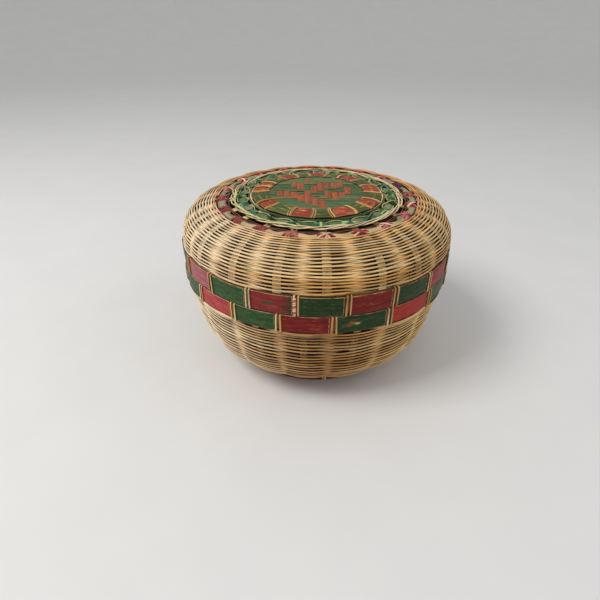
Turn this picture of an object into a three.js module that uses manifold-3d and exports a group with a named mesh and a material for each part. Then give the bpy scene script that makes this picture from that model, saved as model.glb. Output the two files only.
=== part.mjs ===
// Round lidded basket of split cane: a domed lid that lifts off a bowl, both closed at the rim by
// painted splint hoops tied on with cane. Millimetres, +Z up, origin at the middle of the underside.
// Angles are counted from the front (-Y), growing towards +X.

import * as THREE from "three";
import { mergeVertices } from "three/addons/utils/BufferGeometryUtils.js";
import Module from "manifold-3d";

const wasm = await Module();
wasm.setup();

// Driving sizes of the whole basket
const rimRadius = 105; // outside of the painted rim hoops
const seamHeight = 88; // where lid and bowl meet, above the surface that the foot stands on
const fitGap = 0.3; // left between two pieces that touch

// Rim: what is stacked from the outside in, and how high the hoops are
const hoopThickness = 2;
const rimWeaveThickness = 0.8; // only the last strand of the weave is held between the hoops
const stakeThickness = 1;
const innerHoopThickness = 1.8;
const lidHoopHeight = 13.3;
const baseHoopHeight = 12.4;

// Ties that hold the hoops
const tieThickness = 0.5;
const tieWidth = 4.2;
const seamGap = 0.2; // between the ties of the lid and those of the bowl
const grooveGap = 0.4; // left between a tie and the first full strand of the weave

// Collar that seats the lid
const collarThickness = 1.6;
const collarRise = 8;
const seatClearance = 0.8; // running clearance between the collar and the ties of the lid

// Woven walls
const weaveThickness = 3;
const weaveSink = 1; // how far the weave sinks midway between two stakes
const lidDomeHeight = 42.4; // where the wall of the lid ends, above the seam
const lidWallInset = 0.1;
const lidWallRise = 8.5;
const lidShoulderInset = 0.6;
const lidShoulderDrop = 4.5;
const baseBottom = 5.6; // underside of the bowl, above the surface
const baseWallBulge = 0.7;
const baseWaistInset = 10.3;
const baseWaistDrop = 19.8;
const baseBellyBulge = 4.3;

// Top of the lid, from the centre out
const lidPlaitRadius = 36.5;
const crownRingWidth = 13.2;
const greenBandWidth = 12.6;
const lidTwineWidth = 3.6;
const redBandWidth = 10.5;
const crownHeight = 46.2; // top of the crown ring, above the seam
const crownRingThickness = 2.7;
const plaitThickness = 2.3;
const plaitDrop = 0.4; // how far the plait lies below the rings round it
const bandThickness = 1.2;
const knotThickness = 1.2;
const redKnotReach = 3.6; // from the middle of a knot to its ends
const greenKnotReach = 3.2;
const knotStrandWidth = 1.4;

// Bottom of the bowl and its foot
const basePlaitRadius = 37.3;
const baseTwineWidth = 3.5;
const footRadius = 67.2;
const footThickness = 2.2;
const footTieWidth = 3.6;
const footTieDepth = 1.2; // how deep the ties are hooked into the weave
const footTieLift = 0.05; // the ties stay this far off the surface that the hoop stands on
const footStrandHeight = 1.5;
const footStrandLift = 3.5;
const footSeatShare = 0.8; // share of the bowl's curve, past which the weave is level for the foot

// Stakes
const lidStakeCount = 20;
const baseStakeCount = 18;
const hubInset = 3.5; // how far the stakes' hub reaches under the plait, from its edge
const hubWidth = 5;
const hubLip = 0.2; // how far the hub stands over the faces of the stakes
const hubSeat = 2; // how far each stake is let into the hub
const lidStakeWidth = [4.5, 5.8]; // at the hub and at the rim
const baseStakeWidth = [4.5, 5.4];

// What repeats round the basket: a tie between every two stakes of a rim, a knot on every stake of
// the lid, and a foot tie at every second stake of the bowl
const lidTieCount = lidStakeCount;
const baseTieCount = baseStakeCount;
const footTieCount = baseStakeCount / 2;
const knotCount = lidStakeCount;

// Where each pattern starts, in degrees from the front
const lidStakeStart = 3.1;
const lidTieStart = -8.2;
const redKnotStart = 3.5;
const greenKnotStart = 1.9;
const baseStakeStart = -5;
const baseTieStart = 6.5;
const footTieStart = 5.5;

// The ties of the bowl were set by eye: how far they stray from even steps, in degrees, and in how
// many waves round the rim
const tieStray = 1.6;
const tieStrayWaves = 3;
const tieStrayPhase = 60;

// How finely the shapes are drawn
const sidesPerStake = 3;
const strandSides = 6;
const lidFacets = [0, 0.3, 0.5, 0.72, 1]; // along the lid's curve, closest together where it bends most
const baseFacets = [0.25, 0.4, 0.55, 0.7, 0.85, 1]; // the same for the bowl
const halvings = 40; // of a curve, when a point of it is looked for
const mergeDistance = 1e-4; // corners closer than this are one corner
const sunkCorner = (sidesPerStake - 1) / 2; // counted from a stake's flat, the one midway to the next
const lidSides = lidStakeCount * sidesPerStake;
const baseSides = baseStakeCount * sidesPerStake;

// Radii of the rim, from the outside in
const hoopInside = rimRadius - hoopThickness;
const rimWeaveOutside = hoopInside - fitGap;
const rimWeaveInside = rimWeaveOutside - rimWeaveThickness;
const rimStakeOutside = rimWeaveInside - fitGap;
const rimStakeInside = rimStakeOutside - stakeThickness;
const innerHoopOutside = rimStakeInside - fitGap;
const lidInnerHoopInside = innerHoopOutside - innerHoopThickness;
const lidTieInside = lidInnerHoopInside - fitGap - tieThickness;
const collarOutside = lidTieInside - seatClearance;
const collarInside = collarOutside - collarThickness;
const baseInnerHoopInside = collarOutside + fitGap;
const baseTieInside = collarInside - fitGap - tieThickness;
const tieOutside = rimRadius + fitGap + tieThickness;

// Heights of the rim
const tieStart = seamGap / 2;
const hoopStart = tieStart + tieThickness + fitGap;
const lidHoopLow = seamHeight + hoopStart;
const lidHoopHigh = lidHoopLow + lidHoopHeight;
const tieRoom = fitGap + tieThickness + grooveGap;
const baseHoopHigh = seamHeight - hoopStart;
const baseHoopLow = baseHoopHigh - baseHoopHeight;

// Rings on the top of the lid
const crownInside = lidPlaitRadius + fitGap;
const crownOutside = crownInside + crownRingWidth;
const greenInside = crownOutside + fitGap;
const greenOutside = greenInside + greenBandWidth;
const lidTwineInside = greenOutside + fitGap;
const lidTwineOutside = lidTwineInside + lidTwineWidth;
const redInside = lidTwineOutside + fitGap;
const redOutside = redInside + redBandWidth;
const lidWallEdge = redOutside + fitGap;
const domeTop = seamHeight + lidDomeHeight;
const crownTop = seamHeight + crownHeight;
const topSlope = Math.atan2(crownTop - domeTop, lidWallEdge - crownInside);

// Rings on the bottom of the bowl
const baseTwineInside = basePlaitRadius + fitGap;
const baseTwineOutside = baseTwineInside + baseTwineWidth;
const baseWallEdge = baseTwineOutside + fitGap;
const stakeDepth = weaveThickness + fitGap;

const radians = THREE.MathUtils.degToRad;

// Curves of the two walls, seen from the side: x is the radius and y the height.
const lidCurve = new THREE.CubicBezierCurve(
  new THREE.Vector2(rimRadius - lidWallInset, lidHoopHigh + tieRoom),
  new THREE.Vector2(rimRadius - lidShoulderInset, lidHoopHigh + tieRoom + lidWallRise),
  new THREE.Vector2(rimRadius - lidShoulderInset, domeTop - lidShoulderDrop),
  new THREE.Vector2(lidWallEdge, domeTop),
);
const baseCurve = new THREE.CubicBezierCurve(
  new THREE.Vector2(rimRadius + baseWallBulge, baseHoopLow - tieRoom),
  new THREE.Vector2(rimRadius - baseWaistInset, baseHoopLow - tieRoom - baseWaistDrop),
  new THREE.Vector2(rimRadius + baseBellyBulge, baseBottom),
  new THREE.Vector2(baseWallEdge, baseBottom),
);

// Hubs that the stakes run out from, under the edge of each plait
const lidHubInside = lidPlaitRadius - hubInset;
const lidHubOutside = lidHubInside + hubWidth;
const baseHubInside = basePlaitRadius - hubInset;
const baseHubOutside = baseHubInside + hubWidth;

// A point of a wall's curve, moved towards the inside of the basket by a depth.
function inward(curve, t, depth) {
  const point = curve.getPoint(t);
  const tangent = curve.getTangent(t);
  const side = curve === lidCurve ? 1 : -1;
  return new THREE.Vector2(point.x - side * tangent.y * depth, point.y + side * tangent.x * depth);
}

// A point of the shallow cone that the top of the lid follows, at a depth under its surface.
function onTop(radius, depth) {
  const height = crownTop - (radius - crownInside) * Math.tan(topSlope);
  return new THREE.Vector2(radius - depth * Math.sin(topSlope), height - depth * Math.cos(topSlope));
}

// Height of the underside of the bowl at a radius.
function undersideAt(radius) {
  let low = 0;
  let high = 1;
  for (let step = 0; step < halvings; step += 1) {
    const middle = (low + high) / 2;
    if (baseCurve.getPoint(middle).x > radius) low = middle;
    else high = middle;
  }
  return baseCurve.getPoint(low).y;
}

// Turns a closed outline round the axis into flats that lie on its true radius, the first of them at
// the start angle. If a sunk outline is given, the corners midway between two stakes follow it.
function turned(outline, sides, start, sunkOutline = outline) {
  const widening = 1 / Math.cos(Math.PI / sides);
  const isClockwise = THREE.ShapeUtils.area(outline) < 0;
  const [points, sunkPoints] = [outline, sunkOutline].map((line) => {
    const ordered = isClockwise ? line.toReversed() : line;
    return [...ordered, ordered[0]].map((point) => new THREE.Vector2(point.x * widening, point.y));
  });
  const geometry = new THREE.LatheGeometry(points, sides, radians(start) + Math.PI / sides);
  geometry.rotateX(Math.PI / 2);
  const positions = geometry.attributes.position;
  for (let corner = sunkCorner; corner < sides; corner += sidesPerStake) {
    points.forEach((point, row) => {
      const index = corner * points.length + row;
      const share = sunkPoints[row].x / point.x;
      positions.setX(index, positions.getX(index) * share);
      positions.setY(index, positions.getY(index) * share);
      positions.setZ(index, sunkPoints[row].y);
    });
  }
  return geometry;
}

// A closed round plate with its middle on the axis, from a line of points that starts and ends there.
function disc(points, sides, start) {
  const widening = 1 / Math.cos(Math.PI / sides);
  const widened = points.map((point) => new THREE.Vector2(point.x * widening, point.y));
  const geometry = new THREE.LatheGeometry(widened, sides, radians(start) + Math.PI / sides);
  return geometry.rotateX(Math.PI / 2);
}

function box(inside, outside, low, high) {
  return [
    new THREE.Vector2(inside, low),
    new THREE.Vector2(outside, low),
    new THREE.Vector2(outside, high),
    new THREE.Vector2(inside, high),
  ];
}

// A flat strip that lies on the top of the lid, between two radii and two depths.
function topStrip(inside, outside, upper, lower) {
  return [onTop(inside, lower), onTop(outside, lower), onTop(outside, upper), onTop(inside, upper)];
}

// A round strand between two radii.
function roundSection(inside, outside, middle) {
  const radius = (outside - inside) / 2;
  const points = [];
  for (let side = 0; side < strandSides; side += 1) {
    const turn = (side * 2 * Math.PI) / strandSides;
    points.push(new THREE.Vector2(middle.x + radius * Math.cos(turn), middle.y + radius * Math.sin(turn)));
  }
  return points;
}

// Stands an outline of radius and height up in the plane y = 0 and gives it a width along Y.
function standing(outline, width, hole) {
  const shape = new THREE.Shape(outline);
  if (hole) shape.holes.push(new THREE.Path(hole));
  const geometry = new THREE.ExtrudeGeometry(shape, { depth: width, bevelEnabled: false });
  return geometry.translate(0, 0, -width / 2).rotateX(Math.PI / 2);
}

// A block between two radii and two heights, to cut the way of a tie through a piece.
function block(inside, outside, low, high, width) {
  return standing(box(inside, outside, low, high), width);
}

// A tie round a space of radius and height: a closed loop of strip, grown on all sides if asked.
function tie(inside, outside, low, high, width, grown = 0) {
  const outer = box(inside - grown, outside + grown, low - grown, high + grown);
  const strip = tieThickness + grown;
  const inner = box(inside + strip, outside - strip, low + strip, high - strip);
  return standing(outer, width + 2 * grown, inner);
}

function solidOf(geometry) {
  const bare = geometry.clone();
  bare.deleteAttribute("normal");
  bare.deleteAttribute("uv");
  const merged = mergeVertices(bare, mergeDistance);
  const mesh = new wasm.Mesh({
    numProp: 3,
    vertProperties: merged.attributes.position.array,
    triVerts: new Uint32Array(merged.index.array),
  });
  return new wasm.Manifold(mesh);
}

function geometryOf(solid) {
  const mesh = solid.getMesh();
  const geometry = new THREE.BufferGeometry();
  geometry.setAttribute("position", new THREE.BufferAttribute(mesh.vertProperties, 3));
  geometry.setIndex(new THREE.BufferAttribute(mesh.triVerts, 1));
  geometry.computeVertexNormals();
  return geometry;
}

// Angles at even steps round the axis.
function steps(count, start) {
  return Array.from({ length: count }, (_, index) => start + (index * 360) / count);
}

// Copies of a geometry round the axis, one at each angle.
function around(geometry, angles) {
  return angles.map((angle) => geometry.clone().rotateZ(bearing(angle)));
}

// Turn about +Z that takes +X to an angle counted from the front.
function bearing(degrees) {
  return radians(degrees) - Math.PI / 2;
}

function joined(geometries) {
  return geometries.map(solidOf).reduce((whole, next) => whole.add(next));
}

function cutBy(geometry, cutters) {
  return geometryOf(solidOf(geometry).subtract(joined(cutters)));
}

// Ties round the rim of each half, and the ways that they take through the pieces they cross
const lidTieBox = [lidTieInside, tieOutside, seamHeight + tieStart, lidHoopHigh + fitGap + tieThickness];
const baseTieBox = [baseTieInside, tieOutside, baseHoopLow - fitGap - tieThickness, seamHeight - tieStart];
const tieSlotWidth = tieWidth + 2 * fitGap;
const tieSlotHeight = tieThickness + 2 * fitGap;
const slotReach = [baseTieInside - fitGap, tieOutside + fitGap];
const lidSlot = block(...slotReach, lidHoopHigh, lidHoopHigh + tieSlotHeight, tieSlotWidth);
const baseSlot = block(...slotReach, baseHoopLow - tieSlotHeight, baseHoopLow, tieSlotWidth);
const seatSlotHigh = seamHeight - tieStart + fitGap;
const seatSlot = block(...slotReach, seatSlotHigh - tieSlotHeight, seatSlotHigh, tieSlotWidth);
const lidTieAngles = steps(lidTieCount, lidTieStart);
const strayAt = (angle) => tieStray * Math.cos(radians(tieStrayWaves * (angle + tieStrayPhase)));
const baseTieAngles = steps(baseTieCount, baseTieStart).map((angle) => angle + strayAt(angle));
const lidTieSlots = around(lidSlot, lidTieAngles);
const baseTieSlots = around(baseSlot, baseTieAngles);
const seatTieSlots = around(seatSlot, baseTieAngles);

// Foot ties: round the hoop and through the outer strands of the weave
const footInside = footRadius - footThickness;
const footTop = undersideAt(footInside) - fitGap;
const footTieInside = footInside - fitGap - tieThickness;
const footTieOutside = footRadius + fitGap + tieThickness;
const footTieHigh = undersideAt(footInside) + footTieDepth + tieThickness;
const footTieBox = [footTieInside, footTieOutside, footTieLift, footTieHigh];
const footTieAngles = steps(footTieCount, footTieStart);
const footTunnels = around(tie(...footTieBox, footTieWidth, fitGap), footTieAngles);
const footNotchHigh = footTieLift + tieThickness + fitGap;
const footNotchReach = [footTieInside, footTieOutside];
const footNotch = block(...footNotchReach, -footNotchHigh, footNotchHigh, footTieWidth + 2 * fitGap);
const footNotches = around(footNotch, footTieAngles);

// The wall of the lid, ribbed where the strands pass over the stakes.
function lidWall() {
  const outlineAt = (sink) => [
    new THREE.Vector2(rimWeaveInside, lidHoopLow),
    new THREE.Vector2(rimWeaveOutside, lidHoopLow),
    new THREE.Vector2(rimWeaveOutside, lidHoopHigh + tieRoom),
    ...lidFacets.map((t) => inward(lidCurve, t, sink)),
    ...lidFacets.toReversed().map((t) => inward(lidCurve, t, weaveThickness)),
  ];
  return cutBy(turned(outlineAt(0), lidSides, lidStakeStart, outlineAt(weaveSink)), lidTieSlots);
}

// The wall of the bowl, ribbed in the same way down to where the foot is seated.
function baseWall() {
  const outlineAt = (sink) => [
    new THREE.Vector2(rimWeaveInside, baseHoopHigh),
    new THREE.Vector2(rimWeaveOutside, baseHoopHigh),
    new THREE.Vector2(rimWeaveOutside, baseHoopLow - tieRoom),
    new THREE.Vector2(baseCurve.v0.x - sink, baseCurve.v0.y),
    inward(baseCurve, baseFacets[0] / 2, sink),
    ...baseFacets.map((t) => inward(baseCurve, t, t > footSeatShare ? 0 : sink)),
    ...baseFacets.toReversed().map((t) => inward(baseCurve, t, weaveThickness)),
    new THREE.Vector2(rimWeaveInside, baseHoopLow - tieRoom),
  ];
  const geometry = turned(outlineAt(0), baseSides, baseStakeStart, outlineAt(weaveSink));
  return cutBy(geometry, [...baseTieSlots, ...footTunnels]);
}

// One stake from its two faces. It is made a millimetre wide, then given its width at each radius,
// narrow at the hub and wide at the rim.
function stake(outerFace, innerFace, hubInside, widths) {
  const geometry = standing([...outerFace, ...innerFace.toReversed()], 1);
  const positions = geometry.attributes.position;
  for (let index = 0; index < positions.count; index += 1) {
    const share = (positions.getX(index) - hubInside) / (rimRadius - hubInside);
    const width = THREE.MathUtils.lerp(widths[0], widths[1], THREE.MathUtils.clamp(share, 0, 1));
    positions.setY(index, positions.getY(index) * width);
  }
  return geometry;
}

function lidStakes() {
  const start = lidHubOutside - hubSeat;
  const faceAt = (depth, radius) => [
    onTop(start, depth),
    ...lidFacets.toReversed().map((t) => inward(lidCurve, t, depth)),
    new THREE.Vector2(radius, lidHoopLow),
  ];
  const outerFace = faceAt(stakeDepth, rimStakeOutside);
  const innerFace = faceAt(stakeDepth + stakeThickness, rimStakeInside);
  const oneStake = stake(outerFace, innerFace, lidHubInside, lidStakeWidth);
  const stakes = around(oneStake, steps(lidStakeCount, lidStakeStart));
  const hubDepths = [stakeDepth - hubLip, stakeDepth + stakeThickness + hubLip];
  const hubStrip = topStrip(lidHubInside, lidHubOutside, ...hubDepths);
  return geometryOf(joined([turned(hubStrip, lidSides, lidStakeStart), ...stakes]));
}

function baseStakes() {
  const start = baseHubOutside - hubSeat;
  const faceAt = (depth, radius) => [
    new THREE.Vector2(start, baseBottom + depth),
    ...baseFacets.toReversed().map((t) => inward(baseCurve, t, depth)),
    new THREE.Vector2(radius, baseHoopLow - tieRoom),
    new THREE.Vector2(radius, baseHoopHigh),
  ];
  const outerFace = faceAt(stakeDepth, rimStakeOutside);
  const innerFace = faceAt(stakeDepth + stakeThickness, rimStakeInside);
  const oneStake = stake(outerFace, innerFace, baseHubInside, baseStakeWidth);
  const stakes = around(oneStake, steps(baseStakeCount, baseStakeStart));
  const hubLow = baseBottom + stakeDepth - hubLip;
  const hubHigh = baseBottom + stakeDepth + stakeThickness + hubLip;
  const hubStrip = box(baseHubInside, baseHubOutside, hubLow, hubHigh);
  return geometryOf(joined([turned(hubStrip, baseSides, baseStakeStart), ...stakes]));
}

// A dyed strand that runs round the lid and is worked into a knot at even steps.
function knotting(middle, reach, start) {
  const spread = reach / middle;
  const at = (angle, radius) => new THREE.Vector2(radius * Math.cos(angle), radius * Math.sin(angle));
  const edge = (side) => {
    const strand = middle + (side * knotStrandWidth) / 2;
    const points = [];
    for (let index = 0; index < knotCount; index += 1) {
      const knot = radians(start + (index * 360) / knotCount);
      points.push(at(knot - spread, strand), at(knot, middle + side * reach), at(knot + spread, strand));
    }
    return points;
  };
  const shape = new THREE.Shape(edge(1));
  shape.holes.push(new THREE.Path(edge(-1)));
  const geometry = new THREE.ExtrudeGeometry(shape, { depth: knotThickness, bevelEnabled: false });
  geometry.rotateZ(-Math.PI / 2);
  const positions = geometry.attributes.position;
  for (let index = 0; index < positions.count; index += 1) {
    const radius = Math.hypot(positions.getX(index), positions.getY(index));
    const surface = onTop(radius, weaveThickness - bandThickness - fitGap);
    positions.setZ(index, surface.y + positions.getZ(index));
  }
  return geometry;
}

function footBinding() {
  const ties = around(tie(...footTieBox, footTieWidth), footTieAngles);
  const strandHigh = footStrandLift + footStrandHeight;
  const strand = box(footTieInside, footTieInside + tieThickness, footStrandLift, strandHigh);
  return geometryOf(joined([turned(strand, baseSides, footTieStart), ...ties]));
}

const finishes = {
  painted_splint: { color: 0x8c2a22, roughness: 0.55 },
  cane: { color: 0xc09a62, roughness: 0.6 },
  pale_cane: { color: 0xdccb98, roughness: 0.6 },
  bamboo: { color: 0xa98a55, roughness: 0.65 },
  dyed_plait: { color: 0x3f6b48, roughness: 0.6 },
  red_cane: { color: 0xb4545a, roughness: 0.6 },
  green_cane: { color: 0x4f7a4c, roughness: 0.6 },
};

function piece(name, finish, geometry) {
  const material = new THREE.MeshStandardMaterial({ ...finishes[finish], metalness: 0 });
  const mesh = new THREE.Mesh(geometry, material);
  mesh.name = name;
  return mesh;
}

// Ties round a rim, one mesh each.
function ties(prefix, geometry, angles) {
  const group = new THREE.Group();
  angles.forEach((angle, index) => {
    const number = String(index + 1).padStart(2, "0");
    const mesh = piece(`${prefix}_${number}`, "pale_cane", geometry);
    mesh.rotation.z = bearing(angle);
    group.add(mesh);
  });
  return group;
}

function lidRing(name, finish, outline) {
  return piece(name, finish, turned(outline, lidSides, lidStakeStart));
}

function baseRing(name, finish, outline) {
  return piece(name, finish, turned(outline, baseSides, baseStakeStart));
}

function makeLid() {
  const lid = new THREE.Group();
  const plaitTop = onTop(crownInside, plaitDrop).y;
  const plait = [
    new THREE.Vector2(0, plaitTop - plaitThickness),
    new THREE.Vector2(lidPlaitRadius, plaitTop - plaitThickness),
    new THREE.Vector2(lidPlaitRadius, plaitTop),
    new THREE.Vector2(0, plaitTop),
  ];
  const twineRadius = lidTwineWidth / 2;
  const twineMiddle = onTop(lidTwineInside + twineRadius, weaveThickness - twineRadius);
  const bandTop = weaveThickness - bandThickness;
  const redMiddle = redOutside - redKnotReach - fitGap;
  const greenMiddle = greenOutside - greenKnotReach - fitGap;
  const outerHoop = box(hoopInside, rimRadius, lidHoopLow, lidHoopHigh);
  const innerHoop = box(lidInnerHoopInside, innerHoopOutside, lidHoopLow, lidHoopHigh);
  lid.add(
    lidRing("lid_outer_hoop", "painted_splint", outerHoop),
    lidRing("lid_inner_hoop", "bamboo", innerHoop),
    piece("lid_woven_wall", "cane", lidWall()),
    piece("lid_stakes", "bamboo", lidStakes()),
    piece("lid_centre_plait", "dyed_plait", disc(plait, lidSides, lidStakeStart)),
    lidRing("lid_crown_ring", "painted_splint", topStrip(crownInside, crownOutside, 0, crownRingThickness)),
    lidRing("lid_green_band", "green_cane", topStrip(greenInside, greenOutside, bandTop, weaveThickness)),
    lidRing("lid_twined_ring", "pale_cane", roundSection(lidTwineInside, lidTwineOutside, twineMiddle)),
    lidRing("lid_red_band", "bamboo", topStrip(redInside, redOutside, bandTop, weaveThickness)),
    piece("lid_green_knotting", "green_cane", knotting(greenMiddle, greenKnotReach, greenKnotStart)),
    piece("lid_red_knotting", "red_cane", knotting(redMiddle, redKnotReach, redKnotStart)),
    ties("lid_lashing", tie(...lidTieBox, tieWidth), lidTieAngles),
  );
  return lid;
}

function makeBase() {
  const base = new THREE.Group();
  const collarOutline = box(collarInside, collarOutside, baseHoopLow, seamHeight + collarRise);
  const collar = turned(collarOutline, baseSides, baseStakeStart);
  const plait = [
    new THREE.Vector2(0, baseBottom + plaitDrop),
    new THREE.Vector2(basePlaitRadius, baseBottom + plaitDrop),
    new THREE.Vector2(basePlaitRadius, baseBottom + plaitDrop + plaitThickness),
    new THREE.Vector2(0, baseBottom + plaitDrop + plaitThickness),
  ];
  const twineRadius = baseTwineWidth / 2;
  const twineHeight = baseBottom + weaveThickness - twineRadius;
  const twineMiddle = new THREE.Vector2(baseTwineInside + twineRadius, twineHeight);
  const foot = turned(box(footInside, footRadius, 0, footTop), baseSides, footTieStart);
  const outerHoop = box(hoopInside, rimRadius, baseHoopLow, baseHoopHigh);
  const innerHoop = box(baseInnerHoopInside, innerHoopOutside, baseHoopLow, baseHoopHigh);
  base.add(
    baseRing("base_outer_hoop", "painted_splint", outerHoop),
    baseRing("base_inner_hoop", "bamboo", innerHoop),
    piece("base_seat_collar", "bamboo", cutBy(collar, seatTieSlots)),
    piece("base_woven_wall", "cane", baseWall()),
    piece("base_stakes", "bamboo", baseStakes()),
    piece("base_centre_plait", "cane", disc(plait, baseSides, baseStakeStart)),
    baseRing("base_twined_ring", "pale_cane", roundSection(baseTwineInside, baseTwineOutside, twineMiddle)),
    piece("base_foot_hoop", "painted_splint", cutBy(foot, footNotches)),
    piece("base_foot_binding", "pale_cane", footBinding()),
    ties("base_lashing", tie(...baseTieBox, tieWidth), baseTieAngles),
  );
  return base;
}

const basket = new THREE.Group();
basket.add(makeLid(), makeBase());

export default basket;
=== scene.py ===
"""Dresses the lidded basket of split cane: weave, stakes, painted hoops, ties, rings, knots, plaits.

Lengths are in millimetres until a mesh is written, and heights count from the surface that the foot
stands on. Angles are in degrees from the front (-Y), growing towards +X.
"""

import logging
import math
from collections.abc import Callable, Sequence
from dataclasses import dataclass, field
from enum import Enum

import bpy
import numpy as np
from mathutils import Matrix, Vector

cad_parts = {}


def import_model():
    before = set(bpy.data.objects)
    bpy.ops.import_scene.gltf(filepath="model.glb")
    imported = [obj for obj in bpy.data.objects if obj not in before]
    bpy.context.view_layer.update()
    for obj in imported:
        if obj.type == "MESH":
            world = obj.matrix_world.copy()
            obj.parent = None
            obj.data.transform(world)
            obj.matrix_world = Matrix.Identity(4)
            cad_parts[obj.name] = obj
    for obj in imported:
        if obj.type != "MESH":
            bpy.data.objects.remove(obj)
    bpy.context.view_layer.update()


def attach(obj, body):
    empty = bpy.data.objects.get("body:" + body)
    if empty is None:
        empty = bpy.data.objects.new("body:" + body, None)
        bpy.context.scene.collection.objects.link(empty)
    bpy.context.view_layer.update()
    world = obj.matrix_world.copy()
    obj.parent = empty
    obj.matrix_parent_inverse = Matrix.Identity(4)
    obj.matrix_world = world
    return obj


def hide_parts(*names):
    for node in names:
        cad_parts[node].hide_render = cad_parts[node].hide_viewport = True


LOG = logging.getLogger("basket")
METRE = 0.001
Colour = tuple[float, float, float]
Place = tuple[float, float, float]
Array = np.ndarray
Random = np.random.Generator
Settings = dict[str, object]
Sockets = dict[str | int, object]


class Body(Enum):
    """The two halves of the basket."""

    LID = "lid"
    BASE = "base"


# Colours


def colour(*channels: int) -> Colour:
    """Turns red, green and blue as seen on a screen into the linear values that a shader takes."""
    shares = (channel / 255 for channel in channels)
    return tuple(v / 12.92 if v <= 0.04045 else ((v + 0.055) / 1.055) ** 2.4 for v in shares)


GOLDEN_CANE = colour(216, 160, 84)
STRAW_CANE = colour(238, 198, 134)
PALE_CANE = colour(220, 188, 138)
# Pale faded cane, also standing for the light on the left: painted light
FADED_AND_LIT_CANE = colour(252, 232, 198)
BROWN_CANE = colour(150, 98, 46)
RUSTY_CANE = colour(202, 108, 66)
STAKE_PALE = colour(242, 204, 144)
STAKE_TAN = colour(214, 168, 104)
STAKE_BROWN = colour(178, 130, 74)
PLAIN_SPLINT = colour(184, 142, 88)
PAINT_RED = colour(112, 14, 6)
PAINT_PINK_RED = colour(168, 56, 60)
PAINT_VIOLET_RED_LIT = colour(158, 84, 90)
PAINT_SCARLET = colour(158, 34, 28)
PAINT_GREEN = colour(22, 52, 10)
WORN_OCHRE = colour(128, 88, 36)
RUBBED_CREAM = colour(214, 184, 140)
TIE_CREAM = colour(224, 200, 150)
TIE_TAN = colour(196, 152, 98)
TIE_GREY = colour(196, 182, 152)
TIE_ORANGE = colour(214, 142, 90)
TIE_YELLOW = colour(222, 184, 96)
KNOT_RED = colour(156, 60, 60)
KNOT_PINK = colour(194, 110, 102)
KNOT_PALE = colour(230, 190, 160)
KNOT_RUST = colour(148, 74, 60)
KNOT_SALMON = colour(176, 106, 86)
KNOT_PLUM = colour(100, 44, 66)
KNOT_GREEN = colour(64, 104, 56)
KNOT_LIME = colour(150, 172, 104)
TWILL_GREEN = colour(70, 98, 62)
TWILL_DARK = colour(46, 72, 46)
TWILL_TEAL = colour(66, 116, 88)
TWILL_OLIVE = colour(122, 118, 68)
TWILL_ORANGE = colour(168, 82, 48)
TWILL_RUST = colour(156, 82, 52)
CROWN_RED = colour(156, 60, 42)
CROWN_GREEN = colour(74, 88, 38)
RING_TAN = colour(208, 176, 130)
RING_GREY = colour(146, 148, 116)
TWINE_CREAM = colour(246, 224, 178)
TWINE_GREEN = colour(196, 198, 130)
SHADE_BROWN = colour(112, 68, 54)
RING_DARK = colour(52, 62, 42)
DUSK_BROWN = colour(246, 214, 160)


def blended(first: Array | Colour, second: Array | Colour, share: Array | float) -> Array:
    """Colours part of the way from the first to the second."""
    return np.asarray(first) * (1 - share) + np.asarray(second) * share


# Places round the basket

UP = np.array([0.0, 0.0, 1.0])


def outward_at(angles: Array) -> Array:
    """Unit vectors away from the axis at the given angles."""
    turn = np.radians(angles)
    return np.stack([np.sin(turn), -np.cos(turn), np.zeros_like(turn)], axis=-1)


def round_at(angles: Array) -> Array:
    """Unit vectors along the circle, towards growing angles."""
    turn = np.radians(angles)
    return np.stack([np.cos(turn), np.sin(turn), np.zeros_like(turn)], axis=-1)


def lifted(angles: Array, radius: Array | float, height: Array | float) -> Array:
    """Points at angles round the axis, at a radius and a height."""
    return outward_at(angles) * np.asarray(radius)[..., None] + np.asarray(height)[..., None] * UP


def apart(angles: Array, middle: float) -> Array:
    """How far angles are from a middle one, the short way round."""
    return (angles - middle + 180) % 360 - 180


def following(angles: Array) -> Array:
    """For each of the angles of a full round, the next one."""
    return np.concatenate([angles[1:], angles[:1] + 360])


def distance_along(points: Array) -> Array:
    """How far along a line each of its points is."""
    return np.concatenate([[0.0], np.cumsum(np.linalg.norm(np.diff(points, axis=0), axis=1))])


def sway(angles: Array, rng: Random, reach: float, waves: Sequence[int]) -> Array:
    """A smooth wandering round the basket that closes on itself.

    Args:
        angles: Where it is wanted, in degrees.
        rng: Source of the phases.
        reach: About how far it wanders.
        waves: How many waves round the basket each part of it makes.

    Returns:
        One value for each angle.
    """
    total = np.zeros_like(angles, dtype=float)
    for count in waves:
        total += np.sin(np.radians(angles) * count + rng.uniform(0, 2 * math.pi))
    return total * reach / math.sqrt(len(waves))


def bezier(corners: Sequence[tuple[float, float]], count: int) -> Array:
    """Points of a cubic curve.

    Args:
        corners: Its two ends with its two handles between them.
        count: How many points are wanted.

    Returns:
        The points.
    """
    p0, p1, p2, p3 = (np.array(corner) for corner in corners)
    t = np.linspace(0, 1, count)[:, None]
    return (1 - t) ** 3 * p0 + 3 * (1 - t) ** 2 * t * p1 + 3 * (1 - t) * t**2 * p2 + t**3 * p3


# Strands and splints


def strand_section(width: float, thickness: float) -> Array:
    """An oval section of six sides, centred."""
    turn = np.linspace(0, 2 * math.pi, 6, endpoint=False)
    return np.stack([np.cos(turn) * width / 2, np.sin(turn) * thickness / 2], axis=1)


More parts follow.
